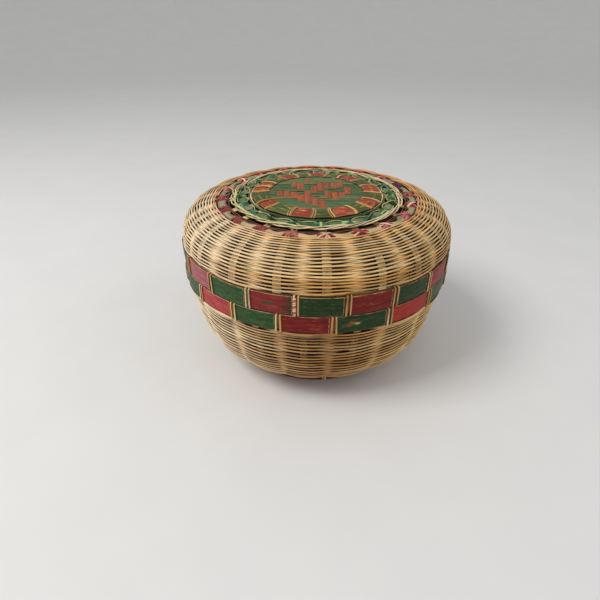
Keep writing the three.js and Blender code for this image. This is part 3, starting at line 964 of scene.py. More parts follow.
@dataclass
class WovenWall:
    """The wall of one half: rows of strands in plain weave over flat stakes."""

    body: Body
    profile: Profile
    stakes: Stakes
    first_row: float
    last_radius: float
    row_pitch: float
    # Width and thickness
    strand: tuple[float, float]
    # Depth of the stakes' middle under the profile
    middle: float
    rim_rows: Array
    hub_from: float
    # Colours of the strands, and how common each is
    palette: dict[Colour, float]
    # Painted light and shade round the wall, with some real fading: middle angle, spread, colour and strength
    bands: list[tuple[float, float, Colour, float]]
    # Larger openings: angle and place along the profile
    holes: list[tuple[float, float]] = field(default_factory=list)
    edge_rows: int = 0
    tight_rows: int = 0
    tight_swing: float = 0.5
    flattening: float = 0.45
    hub_radius: float = 34.0
    hub_depth: float = 3.8
    hub_dive: float = 7.0
    hole_size: tuple[float, float] = (3.6, 3.5)
    hole_push: float = 1.05
    crowding: float = 0.16
    first_row_growth: tuple[float, float] = (1.35, 1.3)
    seed: int = 11

    def swing(self, rows_left: int) -> float:
        """How far a strand's middle moves to either side of the stakes, least in the last rows."""
        tight = max(0.0, 1 - rows_left / self.tight_rows) if self.tight_rows else 0.0
        return (self.stakes.thickness + self.strand[1]) / 2 * (1 - tight * (1 - self.tight_swing))

    def tints(self, angles: Array, rng: Random, near_edge: bool = False) -> Array:
        """Colours along one strand: one of the palette, with painted light and shade and some fading in
        bands.

        Args:
            angles: Its angles.
            rng: Source of the choice.
            near_edge: Whether it is one of the rows that are rusty behind.

        Returns:
            One colour for each angle.
        """
        shares = np.array(list(self.palette.values()))
        chosen = list(self.palette)[rng.choice(len(shares), p=shares / shares.sum())]
        result = self.lit_and_aged(np.array(chosen) * rng.uniform(0.85, 1.12), angles, rng)
        if not near_edge:
            return result
        behind = rng.uniform(0.1, 0.9) * (0.2 + 0.8 * np.sin(np.radians(angles / 2)) ** 2)
        return blended(result, RUSTY_CANE, behind[:, None])

    def lit_and_aged(self, base: Array, angles: Array, rng: Random) -> Array:
        """A colour changed in bands by painted light and shade and by some fading.

        Args:
            base: The colour.
            angles: The angles that it is wanted at.
            rng: Source of the bands' wandering edges.

        Returns:
            One colour for each angle.
        """
        result = np.tile(base, (len(angles), 1))
        for middle, spread, tint, strength in self.bands:
            nearness = np.exp(-((apart(angles, middle) / spread) ** 2))
            share = np.clip(strength * (nearness + sway(angles, rng, 0.1, (3, 7, 13))), 0, 1)
            result = blended(result, tint, share[:, None])
        return result

    def parting(self, along: float, angles: Array) -> Array:
        """How far a row is pushed aside by the larger holes in the wall.

        Args:
            along: Where the row runs on the wall's curve.
            angles: Where round the wall.

        Returns:
            One distance for each angle.
        """
        wide, high = self.hole_size
        away = [(apart(angles, angle) / wide, (along - length) / high) for angle, length in self.holes]
        return sum((np.exp(-(a**2) - b**2) * math.copysign(self.hole_push, b) for a, b in away), 0 * angles)

    def build(self) -> None:
        """Makes the weave and the stakes."""
        bundle = Bundle(f"{self.body.value}_weave", self.seed)
        self.weave(bundle)
        even = np.arange(0, 360, 4.0)
        pitch = abs(self.rim_rows[1] - self.rim_rows[0])
        for height in self.rim_rows:
            lay = hoop_lay(even, RIM.weave_middle, height)
            section = strand_section(pitch * 1.02, RIM.weave_thickness)
            bundle.sweep(lay, section, self.tints(even, bundle.rng), closed=True)
        bundle.finish(CANE, self.body, [f"{self.body.value}_woven_wall"])
        self.stand()

    def weave(self, bundle: Bundle) -> None:
        """Adds the rows of the wall, each in front of every second stake.

        Args:
            bundle: Where the strands are gathered.
        """
        rng = bundle.rng
        angles, sides = self.stakes.spots()
        phases = [rng.uniform(0, 2 * math.pi) for _ in range(3)]
        row_count = round((self.profile.length_at(self.last_radius) - self.first_row) / self.row_pitch) + 1
        for row in range(row_count):
            rows_left = row_count - 1 - row
            along = self.first_row + row * self.row_pitch
            drift = sway(angles, rng, 0.09, (3, 7, 12, 19))
            for number, phase in enumerate(phases):
                wave = along / (3.1 + number) + np.radians(angles) * (2 + 3 * number) + phase
                drift += self.crowding * np.sin(wave)
            front = sides if row % 2 == 0 else -sides
            depth = self.middle - front * self.swing(rows_left) + sway(angles, rng, 0.05, (5, 11))
            # Painted shade: the strand darkens where it runs behind a stake
            shade = np.clip(-front, 0, 1) ** 1.2
            lay = self.profile.lay(along + drift + self.parting(along, angles), depth, angles, shade)
            width = self.strand[0] * rng.uniform(0.9, 1.12)
            thickness = self.strand[1] * rng.uniform(0.92, 1.08)
            if row == 0:
                width, thickness = width * self.first_row_growth[0], thickness * self.first_row_growth[1]
            grow = 1 + sway(angles, rng, 0.05, (4, 9, 17))
            flattened = np.stack([grow * (1 + self.flattening * shade), grow], axis=1)
            sections = strand_section(width, thickness)[None] * flattened[:, None, :]
            bundle.sweep(lay, sections, self.tints(angles, rng, rows_left < self.edge_rows), closed=True)

    def stand(self) -> None:
        """Makes the stakes, from the rim to the hub under the plait."""
        bundle = Bundle(f"{self.body.value}_flat_stakes", self.seed + 1)
        rng = bundle.rng
        rim_end = self.first_row - 1.2
        last = self.profile.length_at(self.hub_radius)
        turn_in = self.profile.length_at(self.hub_from)
        along = np.concatenate([np.linspace(0, rim_end - 2, 5), np.linspace(rim_end, turn_in, 36),
                                np.linspace(turn_in + 1.2, last, 14)])
        rim_depth = np.interp(along, self.profile.along, self.profile.points[:, 0]) - RIM.stake_middle
        inward = np.clip((along - turn_in) / self.hub_dive, 0, 1)
        depth = np.where(along < rim_end - 1, rim_depth, self.middle)
        depth += (self.hub_depth - self.middle) * (3 * inward**2 - 2 * inward**3)
        share = np.clip(along / last, 0, 1)
        width = self.stakes.width_rim + (self.stakes.width_hub - self.stakes.width_rim) * share
        thickness = np.full_like(width, self.stakes.thickness)
        for angle in self.stakes.angles():
            at = np.full_like(along, angle) + np.radians(along * rng.uniform(-0.2, 0.2))
            lay = Lay(self.profile.place(along, depth, at), round_at(at), self.profile.outward(along, at))
            sizes = np.stack([width * rng.uniform(0.93, 1.05), thickness], axis=1)
            tint = blended(*self.stakes.tints, rng.uniform(0, 1))
            bundle.sweep(lay, splint_section(1.0, 1.0)[None] * sizes[:, None, :], self.lit_and_aged(tint, at, rng))
        bundle.finish(SPLINT, self.body, [f"{self.body.value}_stakes"])


@dataclass
class Plait:
    """A round plait of flat splints in twill, seen on both faces."""

    name: str
    body: Body
    height: float
    finish: Finish
    upright_tints: list[Colour]
    level_tints: list[Colour]
    replaces: str
    gaps: list[tuple[float, float]] = field(default_factory=list)
    # Where upright splints lie on top, by column; without any it is a plain twill
    floats: dict[int, list[tuple[float, float]]] = field(default_factory=dict)
    dome: float = 0.8
    radius: float = 37.6
    upright_pitch: float = 5.2
    upright_shift: float = -1.7
    level_pitch: float = 1.75
    edge_room: float = 0.5
    thickness: float = 0.5
    crown: float = 0.12
    over: int = 3
    lift: float = 0.36
    float_reach: float = 1.4
    gap_size: tuple[float, float] = (4.2, 4.5)
    gap_push: float = 1.1
    wander: float = 0.15
    seed: int = 9

    def parted(self, x: Array, y: Array) -> Array:
        """How far level splints are pushed aside by the small gaps.

        Args:
            x: The places across the plait.
            y: The places up the plait.

        Returns:
            One distance for each place.
        """
        wide, deep = self.gap_size
        away = [((x - gap_x) / wide, (y - gap_y) / deep) for gap_x, gap_y in self.gaps]
        return sum((np.exp(-(a**2) - b**2) * np.sign(b + 1e-7) * self.gap_push for a, b in away), 0 * x)

    def is_upright_on_top(self, column: int, row: int) -> bool:
        """Whether an upright splint passes over a level one.

        Args:
            column: Number of the upright splint.
            row: Number of the level one.

        Returns:
            Whether it does.
        """
        if not self.floats:
            return (row // 2 + column) % (2 * self.over) < self.over
        forward, reach = -row * self.level_pitch, self.float_reach
        return any(start - reach <= forward <= end + reach for start, end in self.floats.get(column, []))

    def splint(self, bundle: Bundle, number: int, upright: bool) -> None:
        """Adds one splint.

        Args:
            bundle: What it is added to.
            number: Its number, counted from the middle.
            upright: Whether it runs from front to back.
        """
        rng = bundle.rng
        pitch, crossing = self.upright_pitch, self.level_pitch
        shift, other_shift = self.upright_shift, 0.0
        if not upright:
            pitch, crossing, shift, other_shift = crossing, pitch, other_shift, shift
        offset = number * pitch + shift
        if abs(offset) > self.radius - self.edge_room:
            return
        reach = math.sqrt(self.radius**2 - offset**2)
        points = np.arange(-reach, reach + 0.01, crossing / (2 if upright else 4))
        crossed = np.round((points - other_shift) / crossing).astype(int)
        pairs = [(number, other) if upright else (other, number) for other in crossed]
        level = np.where([self.is_upright_on_top(*pair) == upright for pair in pairs], self.lift, -self.lift)
        level = np.convolve(np.pad(level, 1, mode="edge"), [0.25, 0.5, 0.25], mode="valid")
        line = offset + rng.uniform(-self.wander, self.wander)
        line = line + self.wander * np.sin(points / 9 + rng.uniform(0, 6))
        x, y = (line, points) if upright else (points, line + self.parted(points, line))
        z = self.height + level + self.dome * (1 - (x**2 + y**2) / self.radius**2)
        width = pitch * rng.uniform(0.96, 1.02)
        tints = self.upright_tints if upright else self.level_tints
        tint = np.array(tints[rng.integers(len(tints))]) * rng.uniform(0.88, 1.1)
        lay = free_lay(np.stack([x, y, z], axis=1), UP)
        bundle.sweep(lay, splint_section(width, self.thickness, self.crown), tint)

    def build(self) -> None:
        """Makes the plait."""
        bundle = Bundle(self.name, self.seed)
        for upright, pitch in ((True, self.upright_pitch), (False, self.level_pitch)):
            reach = int(self.radius / pitch) + 1
            for number in range(-reach, reach + 1):
                self.splint(bundle, number, upright)
        bundle.finish(self.finish, self.body, [self.replaces])


# The rings on the top of the lid

KNOT_COUNT = 20
RED_KNOT_START = 3.5
GREEN_KNOT_START = 1.9
ROUND = np.arange(0, 360, 1.5)


@dataclass
class SplintRing:
    """A flat ring that lies on the stakes, its inner edge drawn back between the knots."""

    name: str
    replaces: str
    finish: Finish
    profile: Profile
    inside: float
    outside: float
    waist: float
    knot_start: float
    tints: Array
    depth: float = 2.2
    swell: float = 0.4
    raggedness: float = 0.25
    thickness: float = 0.8
    crown: float = 0.25
    seed: int = 8

    def build(self) -> None:
        """Makes the ring."""
        bundle = Bundle(self.name)
        between = 0.5 - 0.5 * np.cos(np.radians((ROUND - self.knot_start) * KNOT_COUNT))
        ragged = 1 + sway(ROUND, np.random.default_rng(self.seed), self.raggedness, (7, 11, 16))
        inner = self.inside + self.waist * between * ragged
        lay = self.profile.ring((inner + self.outside) / 2, self.depth - self.swell * between, ROUND)
        sizes = np.stack([self.outside - inner, np.ones_like(inner)], axis=1)
        sections = splint_section(1.0, self.thickness, self.crown) * sizes[:, None, :]
        bundle.sweep(lay, sections, self.tints, closed=True)
        bundle.finish(self.finish, Body.LID, [self.replaces])


@dataclass
class StarKnots:
    """Star knots on a ring, and the strands that run from knot to knot."""

    name: str
    replaces: str
    finish: Finish
    profile: Profile
    radius: float
    start: float
    tints: list[Colour]
    special: dict[int, Colour]
    run_radius: float
    run_reach: float
    run_tint: Colour
    seed: int
    depth: float = 1.7
    ways: tuple[int, ...] = (-64, -32, 0, 34, 66, 90)
    strand_length: float = 5.6
    sideways_extra: float = 1.3
    squash: float = 0.88
    strand_rise: float = 0.16
    tuck_depth: float = 3.6
    tuck_from: float = 0.62
    strand_widths: tuple[float, float] = (1.4, 2.0)
    run_strand: tuple[float, float] = (0.9, 0.6)

    def build(self) -> None:
        """Makes the knots and the strands."""
        bundle = Bundle(self.name, self.seed)
        rng = bundle.rng
        for number in range(KNOT_COUNT):
            self.knot(bundle, number)
        phase = np.radians((ROUND - self.start) * KNOT_COUNT / 2)
        for sign in (1, -1):
            wander = sway(ROUND, rng, 0.25, (7, 13, 22))
            middle = self.run_radius + sign * self.run_reach * np.sin(phase) + wander
            lay = self.profile.ring(middle, self.depth + 0.1 - 0.3 * sign * np.cos(phase), ROUND)
            tint = np.array(self.run_tint) * rng.uniform(0.7, 1.1)
            bundle.sweep(lay, strand_section(*self.run_strand), tint, closed=True)
        bundle.finish(self.finish, Body.LID, [self.replaces])

    def knot(self, bundle: Bundle, number: int) -> None:
        """Adds one knot: short strands laid over each other like a star.

        Args:
            bundle: What it is added to.
            number: Its number.
        """
        rng = bundle.rng
        centre = self.start + number * 360 / KNOT_COUNT + rng.uniform(-0.7, 0.7)
        ways = np.array(self.ways) + rng.uniform(-9, 9, len(self.ways))
        rng.shuffle(ways)
        share = np.linspace(-1, 1, 9)
        for layer, turn in enumerate(np.radians(ways)):
            length = self.strand_length + self.sideways_extra * abs(math.sin(turn))
            length *= rng.uniform(0.88, 1.08)
            sideways = share * length * math.sin(turn) + 0.3 * rng.uniform(-1, 1)
            radius = self.radius + share * length * math.cos(turn) * self.squash
            rise = (0.25 + layer * self.strand_rise) * (1 - share**2)
            tuck = self.tuck_depth * np.clip(np.abs(share) - self.tuck_from, 0, 1) ** 1.2
            at = centre + np.degrees(sideways / self.radius)
            lay = self.profile.free(radius, self.depth - rise - 0.35 + tuck, at)
            base = self.special.get(number, self.tints[rng.integers(len(self.tints))])
            tint = np.array(base) * rng.uniform(0.65, 1.25)
            bundle.sweep(lay, splint_section(rng.uniform(*self.strand_widths), 0.55, crown=0.15), tint)


@dataclass
class CrownRing:
    """The wide ring of red and green squares round the plait, with pale borders."""

    profile: Profile
    starts: Array
    inside: float = 36.8
    outside: float = 50.0
    depth: float = 1.25
    bulge: float = 0.55
    # How far each square stays back from its ends, in degrees, and its share of the breadth
    red_square: tuple[float, float] = (1.4, 0.97)
    green_square: tuple[float, float] = (-0.8, 0.93)
    border_pitch: float = 1.35
    border_start: float = 2.2
    border_widths: tuple[float, float] = (0.8, 1.15)
    seed: int = 24
    points: int = 25

    def build(self) -> None:
        """Makes the squares and the borders."""
        squares = Bundle("lid_crown_squares", self.seed)
        borders = Bundle("lid_crown_borders", squares.rng)
        middle, breadth = (self.inside + self.outside) / 2, self.outside - self.inside
        depth = self.depth - self.bulge * np.sin(np.linspace(0, math.pi, self.points))
        for number, (start, end) in enumerate(zip(self.starts, following(self.starts))):
            red = number % 2 == 0
            (room, fill), tint = (self.red_square, CROWN_RED) if red else (self.green_square, CROWN_GREEN)
            angles = np.linspace(start + room, end - room, self.points)
            lay = self.profile.ring(np.full(self.points, middle), depth, angles)
            section = splint_section(breadth * fill, 0.9, crown=0.5, across=14)
            squares.sweep(lay, section, np.array(tint) * squares.rng.uniform(0.85, 1.15))
            if red:
                self.border(borders, start, -1)
                self.border(borders, end, 1)
        self.outer_rings(borders)
        squares.finish(DYED_SPLINT, Body.LID, ["lid_crown_ring"])
        borders.finish(TIE_CANE, Body.LID, [])

    def border(self, bundle: Bundle, angle: float, side: int) -> None:
        """Adds the three strands at one side of a red square.

        Args:
            bundle: What they are added to.
            angle: Angle of the square's edge.
            side: -1 for the edge at its start, 1 for the other.
        """
        rng = bundle.rng
        middle, breadth = (self.inside + self.outside) / 2, self.outside - self.inside
        share = np.linspace(-1, 1, 11)
        for strand in range(3):
            bow = rng.uniform(1.2, 2.0) * (1 - share**2)
            away = bow - self.border_start + strand * self.border_pitch
            at = angle + side * away + rng.uniform(-0.3, 0.3)
            depth = 0.75 - 0.85 * np.sqrt(np.clip(1 - share**2, 0, 1)) + 0.2 * abs(strand - 1)
            lay = self.profile.free(middle + share * breadth * 0.53, depth, at)
            tint = (CROWN_RED, blended(TIE_YELLOW, TIE_CREAM, rng.uniform(0, 1)), TIE_ORANGE)[strand]
            tint = blended(tint, (TIE_YELLOW, TWILL_OLIVE)[rng.integers(2)], rng.uniform(0.1, 0.6))
            bundle.sweep(lay, splint_section(rng.uniform(*self.border_widths), 0.5, crown=0.12), tint)

    def outer_rings(self, bundle: Bundle) -> None:
        """Adds the two thin strands that run round outside the squares, greener in front.

        Args:
            bundle: Where the strands are gathered.
        """
        even = np.arange(0, 360, 3.0)
        front = np.clip(np.cos(np.radians(even)) * 1.6 - 0.2, 0, 1)
        for away, width, tint in ((0.7, 1.1, TWINE_CREAM), (2.0, 1.0, TWILL_OLIVE)):
            lay = self.profile.ring(np.full_like(even, self.outside + away), 1.5 + front * 0.5, even)
            tints = blended(tint, TWILL_GREEN, front[:, None])
            bundle.sweep(lay, strand_section(width, 0.9), tints, closed=True)


@dataclass
class LidTop:
    """The rings, knots and strands on the top of the lid."""

    profile: Profile
    twine_radius: float = 64.3
    twine_reach: float = 1.35
    twine_turns: int = 10
    twine_strand: tuple[float, float] = (1.15, 0.95)
    inner_strand: tuple[float, float] = (62.7, 0.7)
    seed: int = 21

    def ring_tints(self) -> tuple[Array, Array]:
        """Colours of the two splint rings.

        Returns:
            Those of the outer ring, tan in front and greyish green elsewhere, and those of the inner
            one, greyish green with greener stretches and dark at the knots.
        """
        rng = np.random.default_rng(self.seed)
        front = np.clip(np.cos(np.radians(ROUND)), 0, 1) ** 2
        front = np.clip(front + sway(ROUND, rng, 0.1, (6, 14)), 0, 1)
        grey = np.clip(0.5 + sway(ROUND, rng, 0.45, (9, 17)), 0, 1)
        dark = np.clip(np.cos(np.radians((ROUND - GREEN_KNOT_START) * KNOT_COUNT)) * 1.4, 0, 1) * 0.8
        inner = blended(KNOT_GREEN, np.array(RING_GREY) * 0.8, grey[:, None])
        return blended(RING_GREY, RING_TAN, front[:, None]), blended(inner, RING_DARK, dark[:, None])

    def twine(self) -> None:
        """Makes the pale ring of three strands that turn about each other, and one just inside them."""
        bundle = Bundle("lid_twine", self.seed + 7)
        rng = bundle.rng
        angles = np.arange(0, 360, 1.2)
        strands = [(self.twine_radius, self.twine_reach)] * 3 + [self.inner_strand]
        for strand, (middle, reach) in enumerate(strands):
            phase = np.radians(angles * self.twine_turns) + strand * 2 * math.pi / 3
            phase = phase + sway(angles, rng, 0.5, (3, 5, 8))
            radius = middle + reach * np.cos(phase) + sway(angles, rng, 0.25, (4, 9, 14))
            lay = self.profile.ring(radius, 0.7 - 0.6 * np.sin(phase), angles)
            green = np.clip(np.cos(np.radians(angles + 84 - strand * 14)), 0, 1) ** 2 * 0.65
            tint = blended(TWINE_CREAM, TWINE_GREEN, green[:, None]) * rng.uniform(0.9, 1.04)
            bundle.sweep(lay, strand_section(*self.twine_strand), tint, closed=True)
        bundle.finish(PALE_TWINE, Body.LID, ["lid_twined_ring"])

    def build(self) -> None:
        """Makes everything on the top but the plait."""
        outer_tints, inner_tints = self.ring_tints()
        SplintRing("lid_shoulder_ring", "lid_red_band", SPLINT, self.profile, 67.6, 76.2, waist=3.8,
                   knot_start=RED_KNOT_START, tints=outer_tints).build()
        SplintRing("lid_green_splint_ring", "lid_green_band", GREEN_RING, self.profile, 54.0, 60.2, waist=3.0,
                   knot_start=GREEN_KNOT_START + 360 / KNOT_COUNT / 2, tints=inner_tints).build()
        special = {3: KNOT_PINK, 6: KNOT_PLUM, 16: KNOT_RED, 17: KNOT_RUST, 18: KNOT_RUST, 19: KNOT_SALMON}
        StarKnots("lid_red_stars", "lid_red_knotting", RED_STRAND, self.profile, radius=72.8,
                  start=RED_KNOT_START, tints=[KNOT_RED, KNOT_PINK, KNOT_RED, KNOT_PALE], special=special,
                  # The red knots' running strands are shade brown: painted shade of the gap by the twine, on
                  # real strands
                  run_radius=69.0, run_reach=0.9, run_tint=SHADE_BROWN, seed=34).build()
        StarKnots("lid_green_stars", "lid_green_knotting", GREEN_STRAND, self.profile, radius=59.2,
                  start=GREEN_KNOT_START, tints=[KNOT_GREEN, PAINT_GREEN, KNOT_LIME, TWILL_TEAL, RING_GREY],
                  special={}, run_radius=57.2, run_reach=3.9, run_tint=TWINE_GREEN, seed=36).build()
        self.twine()
        CrownRing(self.profile, CROWN_STARTS).build()


# The bottom of the bowl


@dataclass
class BaseTwine:
    """The twined ring round the plait of the bottom."""

    radius: float = 39.35
    height: float = 6.95
    reach: tuple[float, float] = (1.1, 0.6)
    strand: tuple[float, float] = (1.5, 1.1)
    strands: int = 3
    turns: int = 18

    def build(self) -> None:
        """Makes the ring."""
        bundle = Bundle("base_twine")
        angles = np.arange(0, 360, 1.8)
        for number in range(self.strands):
            phase = np.radians(angles * self.turns) + number * 2 * math.pi / self.strands
            radius = self.radius + self.reach[0] * np.cos(phase)
            path = lifted(angles, radius, self.height + self.reach[1] * np.sin(phase))
            lay = Lay(path, outward_at(angles), -UP)
            bundle.sweep(lay, strand_section(*self.strand), TWINE_CREAM, closed=True)
        bundle.finish(PALE_TWINE, Body.BASE, ["base_twined_ring"])


@dataclass
class Foot:
    """The painted hoop that the basket stands on, and the ties that hold it."""

    outside: float = 67.2
    inside: float = 65.0
    top: float = 7.4
    tie_start: float = 5.5
    tie_count: int = 9
    tie_room: float = 0.8
    tie_heights: tuple[float, float] = (0.05, 9.4)
    tie_strand: float = 1.6
    tie_gap: float = 0.95
    binding: tuple[float, float] = (3.5, 5.0)
    seed: int = 31

    def build(self) -> None:
        """Makes the hoop, its ties and the strand that joins them inside it."""
        ring = Bundle("foot_painted_hoop")
        ring.hoop((self.inside, self.outside), (0.0, self.top), PAINT_RED)
        ring.finish(PAINTED_HOOP, Body.BASE, ["base_foot_hoop"])
        ties = Bundle("foot_ties", self.seed)
        tie = Tie(self.inside - self.tie_room, self.outside + self.tie_room, *self.tie_heights)
        for number in range(self.tie_count):
            angle = self.tie_start + number * 360 / self.tie_count
            for side in (-1, 1):
                lean = ties.rng.uniform(-0.4, 0.4)
                tint = (TIE_CREAM, TIE_TAN, TIE_ORANGE)[ties.rng.integers(3)]
                tie.strand(ties, angle, side * self.tie_gap, lean, self.tie_strand, tint)
        ties.hoop((tie.inside, tie.inside + tie.thickness), self.binding, TIE_CREAM)
        ties.finish(TIE_CANE, Body.BASE, ["base_foot_binding"])


# The room


@dataclass
class Studio:
    """A pale floor that curves up all round, soft lamps and the camera, all in metres."""

    camera_at: Place = (-0.012713, -0.34135, 0.25258)
    camera_tilt: float = 57.32
    lens: float = 27.3
    flat_until: float = 2.0
    floor_end: float = 5.0
    floor_rise: float = 0.32
    floor_sides: int = 96
    room_light: float = 0.5
    aim: Place = (0.0, 0.0, 0.07)

    def add(self, name: str, data: bpy.types.ID) -> bpy.types.Object:
        """Adds an object to the scene.

        Args:
            name: Its name.
            data: Its mesh, lamp or camera.

        Returns:
            The object.
        """
        added = bpy.data.objects.new(name, data)
        bpy.context.scene.collection.objects.link(added)
        return added

    def camera(self) -> None:
        """Puts the camera where the photograph was taken from."""
        data = bpy.data.cameras.new("camera")
        data.lens = self.lens
        data.sensor_width = 36.0
        data.clip_start = 0.01
        camera = self.add("camera", data)
        camera.location = self.camera_at
        camera.rotation_euler = (math.radians(self.camera_tilt), 0.0, 0.0)
        bpy.context.scene.camera = camera

    def floor(self) -> None:
        """Makes the floor, flat near the basket and rising far from it."""
        flat = np.linspace(0.05, self.flat_until, 10)
        radii = np.concatenate([flat, np.linspace(self.flat_until + 0.2, self.floor_end, 16)])
        heights = np.clip(radii - self.flat_until, 0, None) ** 2 * self.floor_rise
        sides = self.floor_sides
        turns = [2 * math.pi * side / sides for side in range(sides)]
        points = [(0.0, 0.0, 0.0)]
        for radius, height in zip(radii, heights):
            points.extend((radius * math.cos(turn), radius * math.sin(turn), height) for turn in turns)
        faces: list[tuple[int, ...]] = [(0, 1 + side, 1 + (side + 1) % sides) for side in range(sides)]
        for ring in range(len(radii) - 1):
            for side in range(sides):
                a, b = 1 + ring * sides + side, 1 + ring * sides + (side + 1) % sides
                faces.append((a, a + sides, b + sides, b))
        mesh = bpy.data.meshes.new("floor")
        mesh.from_pydata(points, [], faces)
        mesh.shade_smooth()
        mesh.materials.append(self.floor_material())
        self.add("floor", mesh)

    def floor_material(self) -> bpy.types.Material:
        """Matt pale paper.

        Returns:
            The material.
        """
        shader = Shader("pale_floor")
        place = shader.signal("ShaderNodeTexCoord", {}, {}, "Object")
        mottle = shader.noise(place, (14.0, 14.0, 14.0), 3.0)
        base = shader.mix(colour(226, 226, 226), colour(234, 234, 233), mottle)
        return shader.dress(base, 0.85 + mottle * 0.05, mottle, 0.02)

    def lamp(self, name: str, at: Place, size: float, power: float, tint: Colour) -> None:
        """Adds a soft square lamp that faces the basket.

        Args:
            name: Its name.
            at: Where it hangs.
            size: Length of its sides.
            power: Its power.
            tint: Its colour.
        """
        data = bpy.data.lights.new(name, "AREA")
        data.shape = "SQUARE"
        data.size = size
        data.energy = power
        data.color = tint
        lamp = self.add(name, data)
        lamp.location = at
        way = Vector(self.aim) - Vector(at)
        lamp.rotation_euler = way.to_track_quat("-Z", "Y").to_euler()

    def light(self) -> None:
        """Sets the lamps and the light of the room."""
        scene = bpy.context.scene
        world = bpy.data.worlds.new("room")
        world.use_nodes = True
        background = world.node_tree.nodes["Background"]
        background.inputs["Color"].default_value = (1.0, 1.0, 1.0, 1.0)
        background.inputs["Strength"].default_value = self.room_light
        scene.world = world
        self.lamp("key", at=(-0.8, -0.4, 1.2), size=0.6, power=11.5, tint=(1.0, 0.98, 0.95))
        self.lamp("fill", at=(1.1, -0.3, 0.9), size=0.9, power=2.0, tint=(0.97, 0.98, 1.0))
        scene.view_settings.view_transform = "Standard"

    def build(self) -> None:
        """Makes the room."""
        self.camera()
        self.floor()
        self.light()


# The basket

# Each profile: straight behind the hoops, curved over the wall, straight under the rings or the foot
LID_PROFILE = Profile(np.concatenate([
    np.linspace((104.9, 88.9), (104.9, 103.3), 8),
    bezier([(104.9, 103.4), (104.4, 111.9), (104.4, 125.9), (77.9, 130.4)], 60),
    np.linspace((76.5, 130.52775), (32.0, 134.644), 24)]), side=1)
BASE_PROFILE = Profile(np.concatenate([
    np.linspace((105.7, 87.1), (105.7, 73.6), 8),
    bezier([(105.7, 73.5), (94.7, 53.7), (109.3, 5.6), (41.4, 5.6)], 80),
    np.linspace((40.5, 5.6), (32.0, 5.6), 8)]), side=-1)
LID_STAKES = Stakes(20, 3.1, {-3: -1.6, -2: -0.4, -1: -0.4, 0: -0.9, 1: 1.2, 2: 0.0, 3: 1.1}, 6.2, 4.8,
                    (STAKE_TAN, STAKE_PALE), seed=41)
BASE_STAKES = Stakes(18, -5.0, {-1: 0.8, 0: -1.0, 1: -1.2, 2: 0.5}, 5.2, 4.5,
                     (STAKE_BROWN, STAKE_TAN), seed=42)
# Where upright splints of the lid's plait lie on top, by column: from and to, counted towards the front
TWILL_FLOATS = {
    -5: [(-2, 10)], -4: [(0, 9)], -3: [(-21, -12), (2, 12)], -2: [(-19, -7), (7, 18)],
    -1: [(-30, -24), (1, 23)], 0: [(-11, 2), (12, 26)], 1: [(-23, -2), (19, 31)], 2: [(-20, -11), (1, 11)],
    3: [(-20, -11), (3, 15)], 4: [(-20, -12), (3, 9)], 5: [(-10, 3)],
}
CROWN_STARTS = np.array([-24.3, -4.8, 12.1, 33.1, 49.8, 66.5, 88, 110, 130, 150, 168, 187, 202, 220, 240, 252,
                         256, 269, 298, 311.4])
LID_TIES = -8.2 + 18.0 * np.arange(20)
BASE_TIES = 6.5 + 20.0 * np.arange(18)
BASE_TIES = BASE_TIES + 1.6 * np.cos(np.radians(3 * (BASE_TIES + 60)))


def hoop_tints(count: int, changed: dict[int, Array | Colour]) -> list[Array | Colour]:
    """Colours between the ties, from the first tie on: green and red in turn, but for some."""
    return [changed.get(number, (PAINT_GREEN, PAINT_RED)[number % 2]) for number in range(count)]


def build_lid() -> None:
    """Makes the lid."""
    WovenWall(
        Body.LID, LID_PROFILE, LID_STAKES, first_row=15.4, last_radius=77.6, row_pitch=1.17,
        strand=(1.34, 1.12), middle=1.42, rim_rows=np.linspace(89.4, 102.4, 12), hub_from=79.0,
        palette={GOLDEN_CANE: 0.34, STRAW_CANE: 0.36, BROWN_CANE: 0.1, PALE_CANE: 0.2},
        # Bands: faded cane on the left, painted lighter for the light there, and painted light on the right
        bands=[(-64.0, 42.0, FADED_AND_LIT_CANE, 0.76), (60.0, 40.0, PALE_CANE, 0.3)],
        edge_rows=6, tight_rows=9).build()
    # Splint 17, on the far left, is a lighter violet red: painted light from that side
    tints = hoop_tints(20, {
        3: blended(PAINT_RED, PAINT_PINK_RED, 0.45), 17: PAINT_VIOLET_RED_LIT,
        18: blended(PAINT_GREEN, KNOT_GREEN, 0.45), 19: blended(PAINT_RED, PAINT_PINK_RED, 0.3)})
    smears = [(-18.2, 95.6, 9.0, 2.6, RING_DARK), (-13.0, 93.6, 6.0, 1.4, PAINT_GREEN)]
    PaintedHoop(Body.LID, 88.4, 102.3, LID_TIES, tints, smears, ends={19: PAINT_GREEN}).build()
    PlainHoop("lid_plain_hoop", "lid_inner_hoop", Body.LID, (98.5, RIM.plain_outside), (88.9, 102.2)).build()
    pairs = {
        17: (TIE_TAN, TIE_ORANGE), 18: (TIE_ORANGE, TIE_CREAM), 19: (TIE_CREAM, TIE_GREY),
        0: (KNOT_PALE, TIE_TAN), 1: (TIE_TAN, TIE_TAN), 2: (TIE_TAN, TIE_TAN), 3: (TIE_CREAM, TIE_TAN),
    }
    Ties(Body.LID, LID_TIES, Tie(97.7, RIM.tie_outside, 88.17, 103.0), pairs, beaded=0).build()
    Plait("lid_twill_plait", Body.LID, 132.1, DYED_PLAIT, [TWILL_ORANGE, TWILL_RUST],
          [TWILL_GREEN, TWILL_DARK, TWILL_OLIVE, TWILL_TEAL], "lid_centre_plait",
          gaps=[(-13.0, -0.5), (12.0, 2.8)], floats=TWILL_FLOATS).build()
    LidTop(LID_PROFILE).build()


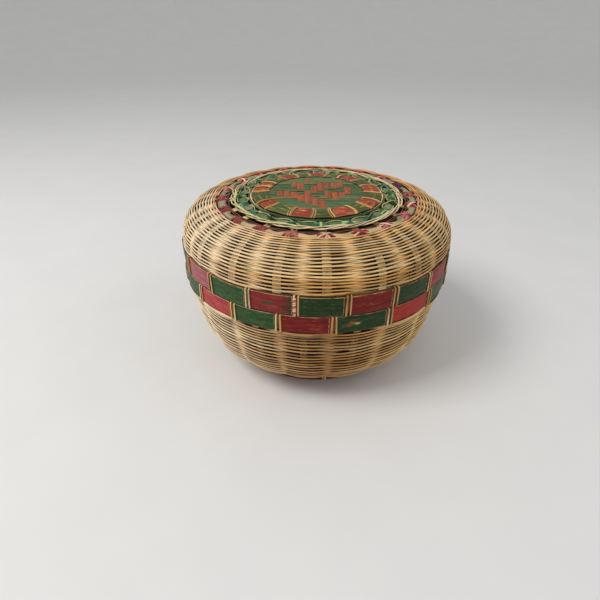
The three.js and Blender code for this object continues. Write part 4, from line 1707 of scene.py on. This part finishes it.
def build_base() -> None:
    """Makes the bowl."""
    WovenWall(
        Body.BASE, BASE_PROFILE, BASE_STAKES, first_row=13.5, last_radius=42.2, row_pitch=1.62,
        strand=(1.8, 1.15), middle=1.45, rim_rows=np.linspace(86.6, 74.6, 11), hub_from=44.0,
        palette={GOLDEN_CANE: 0.45, STRAW_CANE: 0.3, BROWN_CANE: 0.15, PALE_CANE: 0.1},
        # Bands: painted light on the left and right, painted shade in the brown middle, some fading on the
        # left
        bands=[(-64.0, 40.0, FADED_AND_LIT_CANE, 0.9), (4.0, 26.0, BROWN_CANE, 0.68), (60.0, 32.0, STRAW_CANE, 0.9)],
        holes=[(8.5, 31.5), (-53.0, 36.0)], seed=12).build()
    # Splint 15, on the far left, is a lighter pink red: painted light from that side
    tints = hoop_tints(18, {
        1: PAINT_SCARLET, 2: blended(PAINT_GREEN, CROWN_GREEN, 0.45), 15: PAINT_PINK_RED,
        14: blended(PAINT_GREEN, KNOT_GREEN, 0.4), 16: blended(PAINT_GREEN, KNOT_GREEN, 0.3)})
    smears = [(11.4, 82.4, 5.0, 2.6, WORN_OCHRE), (10.4, 80.6, 4.0, 1.6, PAINT_SCARLET),
              (13.4, 81.4, 4.0, 1.4, TIE_YELLOW)]
    PaintedHoop(Body.BASE, 74.6, 87.6, BASE_TIES, tints, smears, seed=6).build()
    inner_radii = (97.2, RIM.plain_outside)
    PlainHoop("base_plain_hoop", "base_inner_hoop", Body.BASE, inner_radii, (74.7, 87.1)).build()
    PlainHoop("seat_collar", "base_seat_collar", Body.BASE, (95.3, 96.9), (74.7, 96.0), STAKE_TAN).build()
    pairs = {
        15: (TIE_CREAM, TIE_TAN), 16: (TIE_YELLOW, TIE_CREAM), 17: (TIE_CREAM, TIE_TAN),
        0: (TIE_ORANGE, TIE_TAN), 1: (TIE_CREAM, TIE_TAN), 2: (TIE_TAN, TIE_TAN),
    }
    Ties(Body.BASE, BASE_TIES, Tie(94.5, RIM.tie_outside, 73.9, 87.83), pairs, seed=4).build()
    Plait("base_plait", Body.BASE, 7.1, SPLINT, [STAKE_TAN, STRAW_CANE], [GOLDEN_CANE, STAKE_TAN],
          "base_centre_plait", dome=0.0, seed=10).build()
    BaseTwine().build()
    Foot().build()


def main() -> None:
    """Loads the frame and dresses it."""
    logging.basicConfig(level=logging.INFO, format="%(message)s")
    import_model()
    Studio().build()
    build_lid()
    build_base()


if __name__ == "__main__":
    main()
